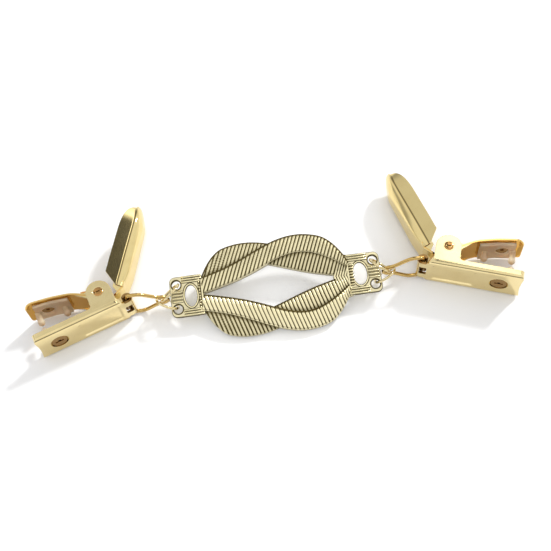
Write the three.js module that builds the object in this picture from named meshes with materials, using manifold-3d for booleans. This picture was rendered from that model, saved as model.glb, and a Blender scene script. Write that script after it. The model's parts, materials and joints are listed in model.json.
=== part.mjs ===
// Dress cincher clip: a twisted ribbon ornament joined by jump rings and wire links to two spring clips.
// Millimetres, +Z up. The clips lie on their sides on the ground plane, with the ornament between them along X.

import * as THREE from 'three';
import { mergeVertices } from 'three/addons/utils/BufferGeometryUtils.js';
import Module from 'manifold-3d';

const wasm = await Module();
wasm.setup();

// Shared clearances
const RUNNING_GAP = 0.3; // between pieces that turn past each other
const SEAT_GAP = 0.2; // between pieces that are seated on each other
const FLOOR_GAP = 0.1; // links stay this far above the surface that the clips lie on

// Clip bodies, sheet metal channels
const CLIP_WIDTH = 11; // outside width, along the pivot
const BODY_LENGTH = 27.5; // from the knuckle axis to the front edge
const BODY_SHEET = 0.7;
const BEND_RADIUS = 1.1; // outside radius of the bends between web and side walls
const WALL_HEIGHT = 2.3; // side walls, from the outer face of the web
const WALL_START = 2; // rear end of the side walls
const SHOULDER_LENGTH = 2.2; // curved step from the knuckle tab to the full width
const FRONT_CORNER = 1.2; // rounding of the front corners of the web
const FRONT_HOLLOW = 0.4; // the front edge curves in by this much
const KNUCKLE_OPENING = 30; // angle at which the rolled knuckle ends
const RELIEF_SIZE = 2; // square relief hole in the knuckle roll
const RELIEF_X = 0.3;
const PANEL_START = 2.6; // embossed panel on the web
const PANEL_END = 15.2;
const PANEL_WIDTH = 7.4;
const PANEL_RISE = 0.3;
const PANEL_CORNER = 0.8;

// Pivot and ears
const PIVOT_X = 6.3;
const PIVOT_Y = 4.65;
const EAR_RADIUS = 3.5;
const EAR_HOLE = 2.4; // diameter
const EAR_FILLET = 1; // between the ears and the side walls

// Jaw arm and lever, one piece of sheet metal
const ARM_SHEET = 0.6;
const CRADLE_RADIUS = 3.55; // the strip passes round the spring at this mid radius
const CHEEK_RADIUS = 2.3; // cheek plates round the pivot
const BOSS_BORE = 1.1; // diameter
const JAW_START = new THREE.Vector2(3.4, 1.3); // jaw strip, from the pivot
const JAW_REAR_SET = 13.9; // bends of the jaw strip, behind the front edge of the body
const JAW_BEND_SET = 8.3;
const JAW_FRONT_SET = 2.6;
const JAW_REAR_UP = 3.75; // and above the pivot
const JAW_BEND_UP = 5.3;
const JAW_FRONT_UP = 6.3;
const LIP_LENGTH = 1.8;
const LIP_ANGLE = -20;
const LEVER_LENGTH = 29.5;
const LEVER_ANGLE = 126; // direction of the lever
const LEVER_BACK = 5.4; // start of the lever's fold line, behind and above the pivot
const LEVER_UP = 0.45;
const LEVER_HALF = 5; // half width at the flange edges
const LEVER_FOLD = 4.65; // half width at the fold lines
const LEVER_CREASE = 3; // half width of the flat middle
const LEVER_DEPTH = 1.8; // the middle stands out this far from the fold lines
const LEVER_FLANGE = 3.5; // deepest point of the side flanges
const LEVER_TIP_SHARE = 0.32; // width of the blunt tip, as a share of the full width
const LEVER_CURL = 1.7; // the tip bends toward the jaw by this much
const LEVER_FOOT = 1.5; // the cradle's strip runs this far up the lever

// Torsion spring
const SPRING_WIRE = 0.8;
const SPRING_RADIUS = 2; // mean radius
const SPRING_TURNS = 4;
const SPRING_REST = 0.2; // gap between the end of the jaw leg and the jaw strip
const SPRING_BODY_LEG = 6.3;
const SPRING_JAW_ANGLE = 13; // directions of the two legs
const SPRING_BODY_ANGLE = 245;

// Gripping pads and their eyelets
const PAD_THICK = 0.9;
const PAD_WIDTH = 7.2;
const PAD_START = 1; // set back from the rear bend of the jaw strip
const PAD_END = 0.6; // set back from the front bend
const PAD_BASE_SET = 1.5; // lower pad, behind the front edge of the body
const PAD_BASE_LENGTH = 13.2;
const PAD_BASE_CORNER = 1;
const PAD_BASE_ROOM = 1; // between the lower pad and each side wall
const PAD_BASE_TOP = 1.4; // lower pad, above the inner face of the web
const PEG_RADIUS = 0.85;
const PEG_BULB = 1.05; // round ends of the pegs
const FRONT_PEG_SET = 3.4; // behind the front edge of the body
const PEG_SPACING = 7.6;
const FRONT_PEG_TIP = 6.85; // above the outer face of the web
const REAR_PEG_TIP = 6.25;
const PEG_MEETING = 0.8; // gap between each peg and the knob under it
const KNOB_GAP = 0.25; // between the front knob and the lower eyelet
const EYELET_BORE = 1; // diameter
const EYELET_BARREL = 1.8; // diameter
const EYELET_HEAD = 0.4; // thickness of the rolled heads
const UPPER_EYELET_AT = 0.3; // place along the front part of the jaw strip
const UPPER_EYELET_HEAD = 3.6;
const LOWER_EYELET_HEAD = 4.8;
const UPPER_EYELET_RIM = 0.6; // rolled rims on the other side, past the barrel
const LOWER_EYELET_RIM = 0.7;
const DIMPLE_DEPTH = 0.7; // recess in the web for the lower eyelet
const DIMPLE_FLOOR = 0.5;
const DIMPLE_WALL = 0.6;
const HEAD_SLOT = 0.7; // slot across the lower eyelet's head

// Wire links and jump rings
const LINK_WIRE = 1.1;
const LINK_LENGTH = 11; // from the nose to the bar that the knuckle rolls round
const LINK_CORNER = 1.05;
const LINK_STRAIGHT = 1.6; // parallel stretch of the legs beside the knuckle
const NOSE_PLAY = 0.7; // the nose holds two ring wires side by side with this much room
const LINK_STAND = 0.22; // gap between the nose and the lug
const RING_WIRE = 0.8;
const RING_SPLIT = 4; // angle of the butt joint, closed by the maker's pliers
const RING_FILL = 0.993; // share of the near ring's width between the lug hole and the nose
const FAR_RING = { along: -0.198, across: 0.445, reach: 0.797, rise: -0.188, lean: 20.74 };
const NEAR_RING = { along: 0.244, across: -0.208, reach: 2.161, rise: 0.371, lean: -155.8 };

// Ornament, two twisted ribbons above and two below an open middle
const ORNAMENT_LENGTH = 59.4;
const ORNAMENT_TILT = 16; // its far edge is raised
const ORNAMENT_BACK = 1.2; // flat back, below the mid plane
const RIBBON_WIDTH = 5.2;
const RIBBON_END = 1.5; // width to which the outer ribbons narrow at the collars
const RIBBON_TAPER = 7.5; // length over which they narrow
const RIBBON_LAP = 0.9; // the back ribbons reach this far under the front ones
const RIBBON_SEAT = 0.1; // the ribbons reach this far over the roots of the lugs
const STRAND_MID = 9.2; // distance of the crossing from the long axis
const STRAND_FALL = 5.3; // both ribbons come this much nearer to the axis at their ends
const STRAND_SWAY = 3; // each ribbon swings this far to either side
const STRAND_WAVE = 25; // half a swing
const CROSSING = -1; // place of the crossing along the axis
const OVER_CROWN = 1.7; // top of the front ribbon at the crossing
const UNDER_CROWN = 0.7; // top of the back ribbon at the crossing
const END_CROWN = 1.05; // top of both away from the crossing
const EDGE_DROP = 0.7; // ribbon edges lie this much lower than the crown
const COLLAR_TOP = 0.7;
const COLLAR_HALF = 5.6;
const COLLAR_LAP = 0.6; // the collars reach this far over the lugs
const LEFT_COLLAR = 1.3; // from the point of the left collar to the ribbons' ends
const RIGHT_COLLAR = 4.3;
const LUG_WIDTH = 10.7;
const LUG_THICK = 1.2;
const LUG_CORNER = 1.6;
const LUG_LENGTH = 9.2;
const LUG_EDGE = 1.9; // from the ring holes to the end of the lug
const LUG_HOLE_V = 3.2; // ring holes, either side of the axis
const HOLE_PLAY = 0.9; // room round the ring wire
const LEFT_WINDOW = new THREE.Vector2(3.3, 6.2);
const RIGHT_WINDOW = new THREE.Vector2(3.8, 6.5);
const WINDOW_SET = 5.8; // from the middle of the windows to the ends of the lugs
const RAIL_WIDTH = 1.3; // raised rails beside the windows
const RAIL_TOP = 1;

// How the clips lie
const CLIP_SWING = 20; // each clip's front is turned toward the viewer

// Values that follow from the sizes above
const HALF = CLIP_WIDTH / 2;
const WEB_OUTER = -(LINK_WIRE / 2 + RUNNING_GAP + BODY_SHEET);
const WEB_INNER = WEB_OUTER + BODY_SHEET;
const PIVOT = new THREE.Vector2(PIVOT_X, PIVOT_Y);
const LINK_SPREAD = HALF - FLOOR_GAP - LINK_WIRE / 2;
const TAB_WIDTH = 2 * (LINK_SPREAD - LINK_CORNER);
const JAW_WIDTH = CLIP_WIDTH - 2 * BODY_SHEET - 2 * RUNNING_GAP;
const CHEEK_INNER = JAW_WIDTH / 2 - ARM_SHEET;
const COIL_HALF = CHEEK_INNER - RUNNING_GAP - SPRING_WIRE / 2;
const NECK_WIDTH = 2 * (COIL_HALF - SPRING_WIRE / 2 - RUNNING_GAP);
const BOSS_RADIUS = EAR_HOLE / 2 - RUNNING_GAP;
const BARREL_HOLE = EYELET_BARREL / 2 + SEAT_GAP;
const FRONT_PEG_X = BODY_LENGTH - FRONT_PEG_SET;
const REAR_PEG_X = FRONT_PEG_X - PEG_SPACING;
const LOWER_RIM = EYELET_BARREL / 2 + LOWER_EYELET_RIM;
const LOWER_EYELET_X = FRONT_PEG_X - PEG_RADIUS - KNOB_GAP - LOWER_RIM;
const LUG_END = ORNAMENT_LENGTH / 2;
const LUG_HOLE_U = LUG_END - LUG_EDGE;
const LUG_ROOT = LUG_END - LUG_LENGTH;
const WINDOW_CENTRE = LUG_END - WINDOW_SET;
const RIBBON_SPAN = LUG_ROOT + RIBBON_SEAT; // the ribbons end this far from the middle
const LUG_HOLE_RADIUS = RING_WIRE / 2 + HOLE_PLAY;
const NOSE_X = LUG_END + LINK_STAND + LINK_WIRE / 2;
const NOSE_RADIUS = (2 * RING_WIRE + NOSE_PLAY) / 2 + LINK_WIRE / 2;
const KNUCKLE_X = NOSE_X + LINK_LENGTH;
const TILT = THREE.MathUtils.degToRad(ORNAMENT_TILT);

const rad = THREE.MathUtils.degToRad;
const lerp = THREE.MathUtils.lerp;
const polar = (radius, angle) => new THREE.Vector2(
  radius * Math.cos(rad(angle)),
  radius * Math.sin(rad(angle)),
);

// Solids and geometries

function solid(geometry) {
  const bare = geometry.clone();
  bare.deleteAttribute('normal');
  bare.deleteAttribute('uv');
  const merged = mergeVertices(bare, 1e-5);
  return new wasm.Manifold(new wasm.Mesh({
    numProp: 3,
    vertProperties: new Float32Array(merged.attributes.position.array),
    triVerts: new Uint32Array(merged.index.array),
  }));
}

function geometryOf(body) {
  const mesh = body.getMesh();
  const geometry = new THREE.BufferGeometry();
  geometry.setAttribute('position', new THREE.BufferAttribute(mesh.vertProperties.slice(), 3));
  geometry.setIndex(new THREE.BufferAttribute(mesh.triVerts.slice(), 1));
  geometry.computeVertexNormals();
  return geometry;
}

function join(...bodies) {
  return bodies.reduce((sum, body) => sum.add(body));
}

// A closed mesh from points and triangles, turned so that its faces point out
function closedMesh(points, triangles) {
  let volume = 0;
  const cross = new THREE.Vector3();
  for (const [a, b, c] of triangles) {
    volume += points[a].dot(cross.crossVectors(points[b], points[c]));
  }
  const faces = volume > 0 ? triangles : triangles.map(([a, b, c]) => [a, c, b]);
  const geometry = new THREE.BufferGeometry().setFromPoints(points);
  geometry.setIndex(faces.flat());
  geometry.computeVertexNormals();
  return geometry;
}

// An outline in x and y, extruded along z between two heights
function extrudeZ(shape, from, to, curveSegments = 12) {
  const geometry = new THREE.ExtrudeGeometry(shape, { depth: to - from, bevelEnabled: false, curveSegments });
  return geometry.translate(0, 0, from);
}

// An outline in x and z, extruded along y between two places
function extrudeY(shape, from, to, curveSegments = 12) {
  const geometry = new THREE.ExtrudeGeometry(shape, { depth: to - from, bevelEnabled: false, curveSegments });
  return geometry.rotateX(Math.PI / 2).translate(0, to, 0);
}

function box(x0, x1, y0, y1, z0, z1) {
  const geometry = new THREE.BoxGeometry(x1 - x0, y1 - y0, z1 - z0);
  return solid(geometry.translate((x0 + x1) / 2, (y0 + y1) / 2, (z0 + z1) / 2));
}

// A round bar along z, or along y
function barZ(radius, x, y, z0, z1, sides = 20) {
  const geometry = new THREE.CylinderGeometry(radius, radius, z1 - z0, sides).rotateX(Math.PI / 2);
  return solid(geometry.translate(x, y, (z0 + z1) / 2));
}

function barY(radius, x, z, y0, y1, sides = 20) {
  const geometry = new THREE.CylinderGeometry(radius, radius, y1 - y0, sides);
  return solid(geometry.translate(x, (y0 + y1) / 2, z));
}

function roundedRectangle(x0, x1, y0, y1, radius) {
  const shape = new THREE.Shape();
  shape.moveTo(x0 + radius, y0);
  shape.lineTo(x1 - radius, y0);
  shape.absarc(x1 - radius, y0 + radius, radius, -Math.PI / 2, 0);
  shape.lineTo(x1, y1 - radius);
  shape.absarc(x1 - radius, y1 - radius, radius, 0, Math.PI / 2);
  shape.lineTo(x0 + radius, y1);
  shape.absarc(x0 + radius, y1 - radius, radius, Math.PI / 2, Math.PI);
  shape.lineTo(x0, y0 + radius);
  shape.absarc(x0 + radius, y0 + radius, radius, Math.PI, 1.5 * Math.PI);
  return shape;
}

// A line moved sideways to its left, with mitred corners
function offsetLine(points, distance) {
  return points.map((point, i) => {
    const before = points[Math.max(i - 1, 0)];
    const after = points[Math.min(i + 1, points.length - 1)];
    const first = point.clone().sub(i > 0 ? before : point).normalize();
    const second = after.clone().sub(point).normalize();
    const a = i > 0 ? first : second;
    const b = i < points.length - 1 ? second : first;
    const normal = new THREE.Vector2(-a.y - b.y, a.x + b.x).normalize();
    const stretch = normal.dot(new THREE.Vector2(-a.y, a.x));
    return point.clone().addScaledVector(normal, distance / stretch);
  });
}

// A sheet metal strip along a line in x and y
function stripShape(points, thickness) {
  const left = offsetLine(points, thickness / 2);
  const right = offsetLine(points, -thickness / 2);
  return new THREE.Shape([...right, ...left.reverse()]);
}

// A body between a row of outer lines and a row of inner lines, one pair for each station along it
function stripLoft(stations) {
  const points = [];
  const triangles = [];
  const count = stations[0].outer.length;
  const loop = 2 * count;
  for (const { outer, inner } of stations) {
    points.push(...outer, ...inner.slice().reverse());
  }
  for (let i = 0; i + 1 < stations.length; i++) {
    for (let k = 0; k < loop; k++) {
      const a = i * loop + k;
      const b = i * loop + (k + 1) % loop;
      triangles.push([a, b, b + loop], [a, b + loop, a + loop]);
    }
  }
  const last = (stations.length - 1) * loop;
  for (let k = 0; k + 1 < count; k++) {
    const far = loop - 1 - k;
    triangles.push([k + 1, k, far], [k + 1, far, far - 1]);
    triangles.push([last + k, last + k + 1, last + far], [last + k + 1, last + far - 1, last + far]);
  }
  return closedMesh(points, triangles);
}

// A round wire along points, either a closed loop or with flat ends; side is square to its first step
function wire(points, radius, sides, closed, side) {
  const count = points.length;
  const vertices = [];
  const triangles = [];
  const normal = side.clone();
  points.forEach((point, i) => {
    const before = closed ? points[(i + count - 1) % count] : points[Math.max(i - 1, 0)];
    const after = closed ? points[(i + 1) % count] : points[Math.min(i + 1, count - 1)];
    const along = after.clone().sub(before).normalize();
    normal.addScaledVector(along, -normal.dot(along)).normalize();
    const across = along.clone().cross(normal);
    for (let k = 0; k < sides; k++) {
      const angle = (2 * Math.PI * k) / sides;
      const vertex = point.clone().addScaledVector(normal, radius * Math.cos(angle));
      vertices.push(vertex.addScaledVector(across, radius * Math.sin(angle)));
    }
  });
  const steps = closed ? count : count - 1;
  for (let i = 0; i < steps; i++) {
    const next = (i + 1) % count;
    for (let k = 0; k < sides; k++) {
      const turn = (k + 1) % sides;
      const a = i * sides + k;
      const b = i * sides + turn;
      const c = next * sides + turn;
      const d = next * sides + k;
      triangles.push([a, b, c], [a, c, d]);
    }
  }
  if (!closed) {
    const end = (count - 1) * sides;
    for (let k = 1; k + 1 < sides; k++) {
      triangles.push([0, k + 1, k], [end, end + k, end + k + 1]);
    }
  }
  return closedMesh(vertices, triangles);
}

// Clip body: a channel with ears, a rolled knuckle, an embossed panel and a dimple for the eyelet
function clipBody() {
  const top = PIVOT_Y + EAR_RADIUS + 1;
  const wallTop = WEB_OUTER + WALL_HEIGHT;
  const innerBend = BEND_RADIUS - BODY_SHEET;
  const wallInner = HALF - BODY_SHEET;

  const channel = new THREE.Shape();
  channel.moveTo(-HALF, top);
  channel.lineTo(-HALF, WEB_OUTER + BEND_RADIUS);
  channel.absarc(-HALF + BEND_RADIUS, WEB_OUTER + BEND_RADIUS, BEND_RADIUS, Math.PI, 1.5 * Math.PI);
  channel.lineTo(HALF - BEND_RADIUS, WEB_OUTER);
  channel.absarc(HALF - BEND_RADIUS, WEB_OUTER + BEND_RADIUS, BEND_RADIUS, -Math.PI / 2, 0);
  channel.lineTo(HALF, top);
  channel.lineTo(wallInner, top);
  channel.absarc(wallInner - innerBend, WEB_INNER + innerBend, innerBend, 0, -Math.PI / 2, true);
  channel.absarc(-wallInner + innerBend, WEB_INNER + innerBend, innerBend, 1.5 * Math.PI, Math.PI, true);
  channel.lineTo(-wallInner, top);
  const run = new THREE.ExtrudeGeometry(channel, { depth: BODY_LENGTH, bevelEnabled: false, curveSegments: 3 });
  run.rotateY(Math.PI / 2);

  const profile = new THREE.Shape();
  profile.moveTo(0, WEB_OUTER);
  profile.lineTo(BODY_LENGTH, WEB_OUTER);
  profile.lineTo(BODY_LENGTH, wallTop);
  profile.lineTo(PIVOT_X + EAR_RADIUS + EAR_FILLET, wallTop);
  profile.absarc(PIVOT_X + EAR_RADIUS + EAR_FILLET, wallTop + EAR_FILLET, EAR_FILLET, -Math.PI / 2, -Math.PI, true);
  profile.absarc(PIVOT_X, PIVOT_Y, EAR_RADIUS, 0, Math.PI);
  profile.lineTo(PIVOT_X - EAR_RADIUS, wallTop);
  profile.lineTo(WALL_START, WEB_INNER + innerBend);
  profile.lineTo(WALL_START, WEB_INNER);
  profile.lineTo(0, WEB_INNER);
  const hole = new THREE.Path();
  hole.absarc(PIVOT_X, PIVOT_Y, EAR_HOLE / 2, 0, 2 * Math.PI);
  profile.holes.push(hole);

  const plan = new THREE.Shape();
  const tab = TAB_WIDTH / 2;
  const shoulder = WALL_START + SHOULDER_LENGTH;
  plan.moveTo(0, -tab);
  plan.lineTo(WALL_START / 2, -tab);
  plan.quadraticCurveTo(WALL_START, -HALF, shoulder, -HALF);
  plan.lineTo(BODY_LENGTH - FRONT_CORNER, -HALF);
  plan.absarc(BODY_LENGTH - FRONT_CORNER, -HALF + FRONT_CORNER, FRONT_CORNER, -Math.PI / 2, 0);
  plan.quadraticCurveTo(BODY_LENGTH - 2 * FRONT_HOLLOW, 0, BODY_LENGTH, HALF - FRONT_CORNER);
  plan.absarc(BODY_LENGTH - FRONT_CORNER, HALF - FRONT_CORNER, FRONT_CORNER, 0, Math.PI / 2);
  plan.lineTo(shoulder, HALF);
  plan.quadraticCurveTo(WALL_START, HALF, WALL_START / 2, tab);
  plan.lineTo(0, tab);

  const roll = new THREE.Shape();
  const rollEnd = 276;
  roll.absarc(0, 0, -WEB_OUTER, rad(KNUCKLE_OPENING), rad(rollEnd));
  roll.absarc(0, 0, -WEB_INNER, rad(rollEnd), rad(KNUCKLE_OPENING), true);

  const halfPanel = PANEL_WIDTH / 2;
  const panel = roundedRectangle(PANEL_START, PANEL_END, -halfPanel, halfPanel, PANEL_CORNER);
  const dimpleOuter = LOWER_EYELET_HEAD / 2 + SEAT_GAP;
  const dimpleBottom = WEB_OUTER + DIMPLE_DEPTH;
  const dimpleTop = dimpleBottom + DIMPLE_FLOOR;

  return solid(run)
    .intersect(solid(extrudeZ(profile, -HALF, HALF, 11)))
    .intersect(solid(extrudeY(plan, WEB_OUTER - 1, top, 4)))
    .add(solid(extrudeZ(roll, -tab, tab, 11)))
    .add(solid(extrudeY(panel, WEB_OUTER - PANEL_RISE, WEB_OUTER + BODY_SHEET / 2, 3)))
    .add(barY(dimpleOuter + DIMPLE_WALL, LOWER_EYELET_X, 0, WEB_OUTER + BODY_SHEET / 2, dimpleTop, 18))
    .subtract(barY(dimpleOuter, LOWER_EYELET_X, 0, WEB_OUTER - 1, dimpleBottom, 18))
    .subtract(barY(BARREL_HOLE, LOWER_EYELET_X, 0, WEB_OUTER - 1, dimpleTop + 1, 12))
    .subtract(box(RELIEF_X - RELIEF_SIZE / 2, RELIEF_X + RELIEF_SIZE / 2, WEB_OUTER - 1, -LINK_WIRE / 2,
      -RELIEF_SIZE / 2, RELIEF_SIZE / 2));
}

// The jaw strip's mid line, in the clip's frame
const JAW_LINE = [
  JAW_START.clone().add(PIVOT),
  new THREE.Vector2(BODY_LENGTH - JAW_REAR_SET, PIVOT_Y + JAW_REAR_UP),
  new THREE.Vector2(BODY_LENGTH - JAW_BEND_SET, PIVOT_Y + JAW_BEND_UP),
  new THREE.Vector2(BODY_LENGTH - JAW_FRONT_SET, PIVOT_Y + JAW_FRONT_UP),
];
const EYELET_CUT = 4 * (ARM_SHEET + PAD_THICK); // passes through strip and pad
const LIP = JAW_LINE[3].clone().add(polar(LIP_LENGTH, LIP_ANGLE));
const LEVER_U = polar(1, LEVER_ANGLE);
const LEVER_N = polar(1, LEVER_ANGLE - 90);
const LEVER_BASE = new THREE.Vector2(PIVOT_X - LEVER_BACK, PIVOT_Y + LEVER_UP);

// Lever: a folded channel that narrows to a blunt tip and bends toward the jaw there
function lever() {
  const stations = [];
  const places = [0, 0.06, 0.115, 0.2, 0.3, 0.45, 0.6, 0.72, 0.8, 0.87, 0.92, 0.955, 0.98, 0.995, 1];
  for (const t of places) {
    const taper = THREE.MathUtils.clamp((t - 0.7) / 0.3, 0, 1);
    const round = Math.sqrt(1 - taper ** 2.4);
    const base = lerp(0.94, 1, Math.min(t / 0.27, 1));
    const width = base * lerp(LEVER_TIP_SHARE, 1, round);
    const depth = LEVER_DEPTH * lerp(0.55, 1, round);
    const rise = LEVER_FLANGE * Math.min(0.08 + 8 * t, 1);
    const fall = lerp(1, 0.8, Math.min(t / 0.68, 1)) * lerp(0.2, 1, round);
    const curl = LEVER_CURL * THREE.MathUtils.clamp((t - 0.55) / 0.45, 0, 1) ** 2;
    const half = [
      new THREE.Vector2(LEVER_HALF * width, rise * fall),
      new THREE.Vector2(LEVER_FOLD * width, 0),
      new THREE.Vector2(LEVER_CREASE * width, -depth),
    ];
    const line = [
      ...half.map((point) => new THREE.Vector2(-point.x, point.y)),
      ...half.slice().reverse(),
    ];
    const place = (point) => {
      const spot = LEVER_BASE.clone().addScaledVector(LEVER_U, t * LEVER_LENGTH);
      spot.addScaledVector(LEVER_N, point.y + curl);
      return new THREE.Vector3(spot.x, spot.y, point.x);
    };
    stations.push({ outer: line.map(place), inner: offsetLine(line, ARM_SHEET).map(place) });
  }
  return stripLoft(stations);
}

// Clip arm: jaw strip, cheeks with hollow pivot bosses, the cradle under the spring, and the lever
function clipArm() {
  const strip = stripShape([...JAW_LINE, LIP], ARM_SHEET);

  const cradle = [JAW_LINE[1], JAW_LINE[0]];
  const startAngle = THREE.MathUtils.radToDeg(JAW_START.angle());
  const steps = 14;
  for (let i = 1; i <= steps; i++) {
    cradle.push(polar(CRADLE_RADIUS, lerp(startAngle, 210 - 360, i / steps)).add(PIVOT));
  }
  const foot = LEVER_BASE.clone().addScaledVector(LEVER_N, ARM_SHEET / 2 - LEVER_DEPTH);
  cradle.push(foot, foot.clone().addScaledVector(LEVER_U, LEVER_FOOT));
  const neck = stripShape(cradle, ARM_SHEET);

  const cheek = new THREE.Shape();
  const lean = 60;
  const low = polar(CHEEK_RADIUS, -lean).add(PIVOT);
  cheek.absarc(PIVOT_X, PIVOT_Y, CHEEK_RADIUS, rad(lean), rad(360 - lean));
  cheek.lineTo(low.x, low.y);
  cheek.lineTo(lerp(JAW_LINE[0].x, JAW_LINE[1].x, 0.8), lerp(JAW_LINE[0].y, JAW_LINE[1].y, 0.7));
  cheek.lineTo(lerp(JAW_LINE[0].x, JAW_LINE[1].x, 0.2), lerp(JAW_LINE[0].y, JAW_LINE[1].y, 0.3));

  const eyelet = JAW_LINE[2].clone().lerp(JAW_LINE[3], UPPER_EYELET_AT);
  const slope = JAW_LINE[3].clone().sub(JAW_LINE[2]).angle();
  const eyeletHole = new THREE.CylinderGeometry(BARREL_HOLE, BARREL_HOLE, EYELET_CUT, 12).rotateZ(slope);
  eyeletHole.translate(eyelet.x, eyelet.y, 0);

  let arm = join(
    solid(extrudeZ(strip, -JAW_WIDTH / 2, JAW_WIDTH / 2)),
    solid(extrudeZ(neck, -NECK_WIDTH / 2, NECK_WIDTH / 2)),
    solid(lever()),
  );
  for (const side of [-1, 1]) {
    const inner = side > 0 ? CHEEK_INNER : -JAW_WIDTH / 2;
    const outer = side > 0 ? HALF : -CHEEK_INNER;
    arm = arm.add(solid(extrudeZ(cheek, inner, inner + ARM_SHEET, 10)));
    arm = arm.add(barZ(BOSS_RADIUS, PIVOT_X, PIVOT_Y, side > 0 ? CHEEK_INNER : -HALF, outer, 14));
  }
  return arm
    .subtract(solid(eyeletHole))
    .subtract(barZ(BOSS_BORE / 2, PIVOT_X, PIVOT_Y, -HALF - 1, HALF + 1, 12));
}

// Torsion spring: one leg over the jaw strip, four turns, one leg on the web
function springPoints() {
  const points = [];
  const from = SPRING_JAW_ANGLE + 90;
  const sweep = SPRING_BODY_ANGLE - 90 + 360 * SPRING_TURNS - from;
  const steps = Math.round((8 * sweep) / 360);
  for (let i = 0; i <= steps; i++) {
    const turn = polar(SPRING_RADIUS, from + (sweep * i) / steps).add(PIVOT);
    points.push(new THREE.Vector3(turn.x, turn.y, lerp(-COIL_HALF, COIL_HALF, i / steps)));
  }
  const rise = JAW_LINE[1].clone().sub(JAW_LINE[0]).normalize();
  const away = new THREE.Vector2(-rise.y, rise.x);
  const height = new THREE.Vector2(points[0].x, points[0].y).sub(JAW_LINE[0]).dot(away);
  const rest = (ARM_SHEET + SPRING_WIRE) / 2 + SPRING_REST;
  const jawLeg = (rest - height) / polar(1, SPRING_JAW_ANGLE).dot(away);
  const jaw = polar(jawLeg, SPRING_JAW_ANGLE);
  const web = polar(SPRING_BODY_LEG, SPRING_BODY_ANGLE);
  const start = points[0].clone().add(new THREE.Vector3(jaw.x, jaw.y, 0));
  const end = points[points.length - 1].clone().add(new THREE.Vector3(web.x, web.y, 0));
  return [start, ...points, end];
}

// Least gap of a wire to itself, between points at least half a turn apart along it
function leastGap(points, diameter) {
  let least = Infinity;
  for (let i = 0; i < points.length; i++) {
    for (let j = i + 4; j < points.length; j++) {
      least = Math.min(least, points[i].distanceTo(points[j]));
    }
  }
  return least - diameter;
}

// A peg with a round end, along y from its root to its tip
function peg(x, root, tip, radius, bulb) {
  const sign = Math.sign(tip - root);
  const reach = Math.abs(tip - root);
  const profile = [new THREE.Vector2(0, 0), new THREE.Vector2(radius, 0)];
  const steps = 4;
  const first = Math.PI - Math.asin(radius / bulb);
  for (let i = 0; i <= steps; i++) {
    const angle = lerp(first, 0, i / steps);
    profile.push(new THREE.Vector2(bulb * Math.sin(angle), reach - bulb + bulb * Math.cos(angle)));
  }
  profile[profile.length - 1].x = 0;
  const geometry = new THREE.LatheGeometry(profile, 10);
  return solid((sign > 0 ? geometry : geometry.rotateX(Math.PI)).translate(x, root, 0));
}

const PEGS = [
  { x: FRONT_PEG_X, tip: WEB_OUTER + FRONT_PEG_TIP },
  { x: REAR_PEG_X, tip: WEB_OUTER + REAR_PEG_TIP },
];

// Upper pad: follows the inner face of the jaw strip, with two pegs and a hole round the eyelet
function upperPad() {
  const rear = JAW_LINE[1].clone().lerp(JAW_LINE[2], PAD_START / JAW_LINE[1].distanceTo(JAW_LINE[2]));
  const front = JAW_LINE[3].clone().lerp(JAW_LINE[2], PAD_END / JAW_LINE[3].distanceTo(JAW_LINE[2]));
  const line = offsetLine([rear, JAW_LINE[2], front], -(ARM_SHEET + PAD_THICK) / 2 - SEAT_GAP);
  const eyelet = JAW_LINE[2].clone().lerp(JAW_LINE[3], UPPER_EYELET_AT);
  const slope = JAW_LINE[3].clone().sub(JAW_LINE[2]).angle();
  const room = UPPER_EYELET_HEAD / 2 + SEAT_GAP;
  const hole = new THREE.CylinderGeometry(room, room, EYELET_CUT, 18).rotateZ(slope);
  hole.translate(eyelet.x, eyelet.y, 0);
  let pad = solid(extrudeZ(stripShape(line, PAD_THICK), -PAD_WIDTH / 2, PAD_WIDTH / 2));
  for (const { x, tip } of PEGS) {
    const after = x > line[1].x ? 1 : 0;
    const share = (x - line[after].x) / (line[after + 1].x - line[after].x);
    pad = pad.add(peg(x, lerp(line[after].y, line[after + 1].y, share), tip, PEG_RADIUS, PEG_BULB));
  }
  return pad.subtract(solid(hole));
}

// Lower pad: a base on the web with a knob under each peg, relieved over the dimple
function lowerPad() {
  const half = HALF - BODY_SHEET - PAD_BASE_ROOM;
  const front = BODY_LENGTH - PAD_BASE_SET;
  const outline = roundedRectangle(front - PAD_BASE_LENGTH, front, -half, half, PAD_BASE_CORNER);
  const bottom = WEB_INNER + SEAT_GAP;
  const top = WEB_INNER + PAD_BASE_TOP;
  const dimpleTop = WEB_OUTER + DIMPLE_DEPTH + DIMPLE_FLOOR;
  const dimple = LOWER_EYELET_HEAD / 2 + SEAT_GAP + DIMPLE_WALL;
  let pad = solid(extrudeY(outline, bottom, top, 4));
  for (const { x, tip } of PEGS) {
    pad = pad.add(peg(x, (bottom + top) / 2, tip - PEG_MEETING, PEG_RADIUS, PEG_BULB));
  }
  return pad
    .subtract(barY(dimple + SEAT_GAP, LOWER_EYELET_X, 0, bottom - 1, dimpleTop + SEAT_GAP, 18))
    .subtract(barY(BARREL_HOLE, LOWER_EYELET_X, 0, bottom - 1, top + 1, 12));
}

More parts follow.
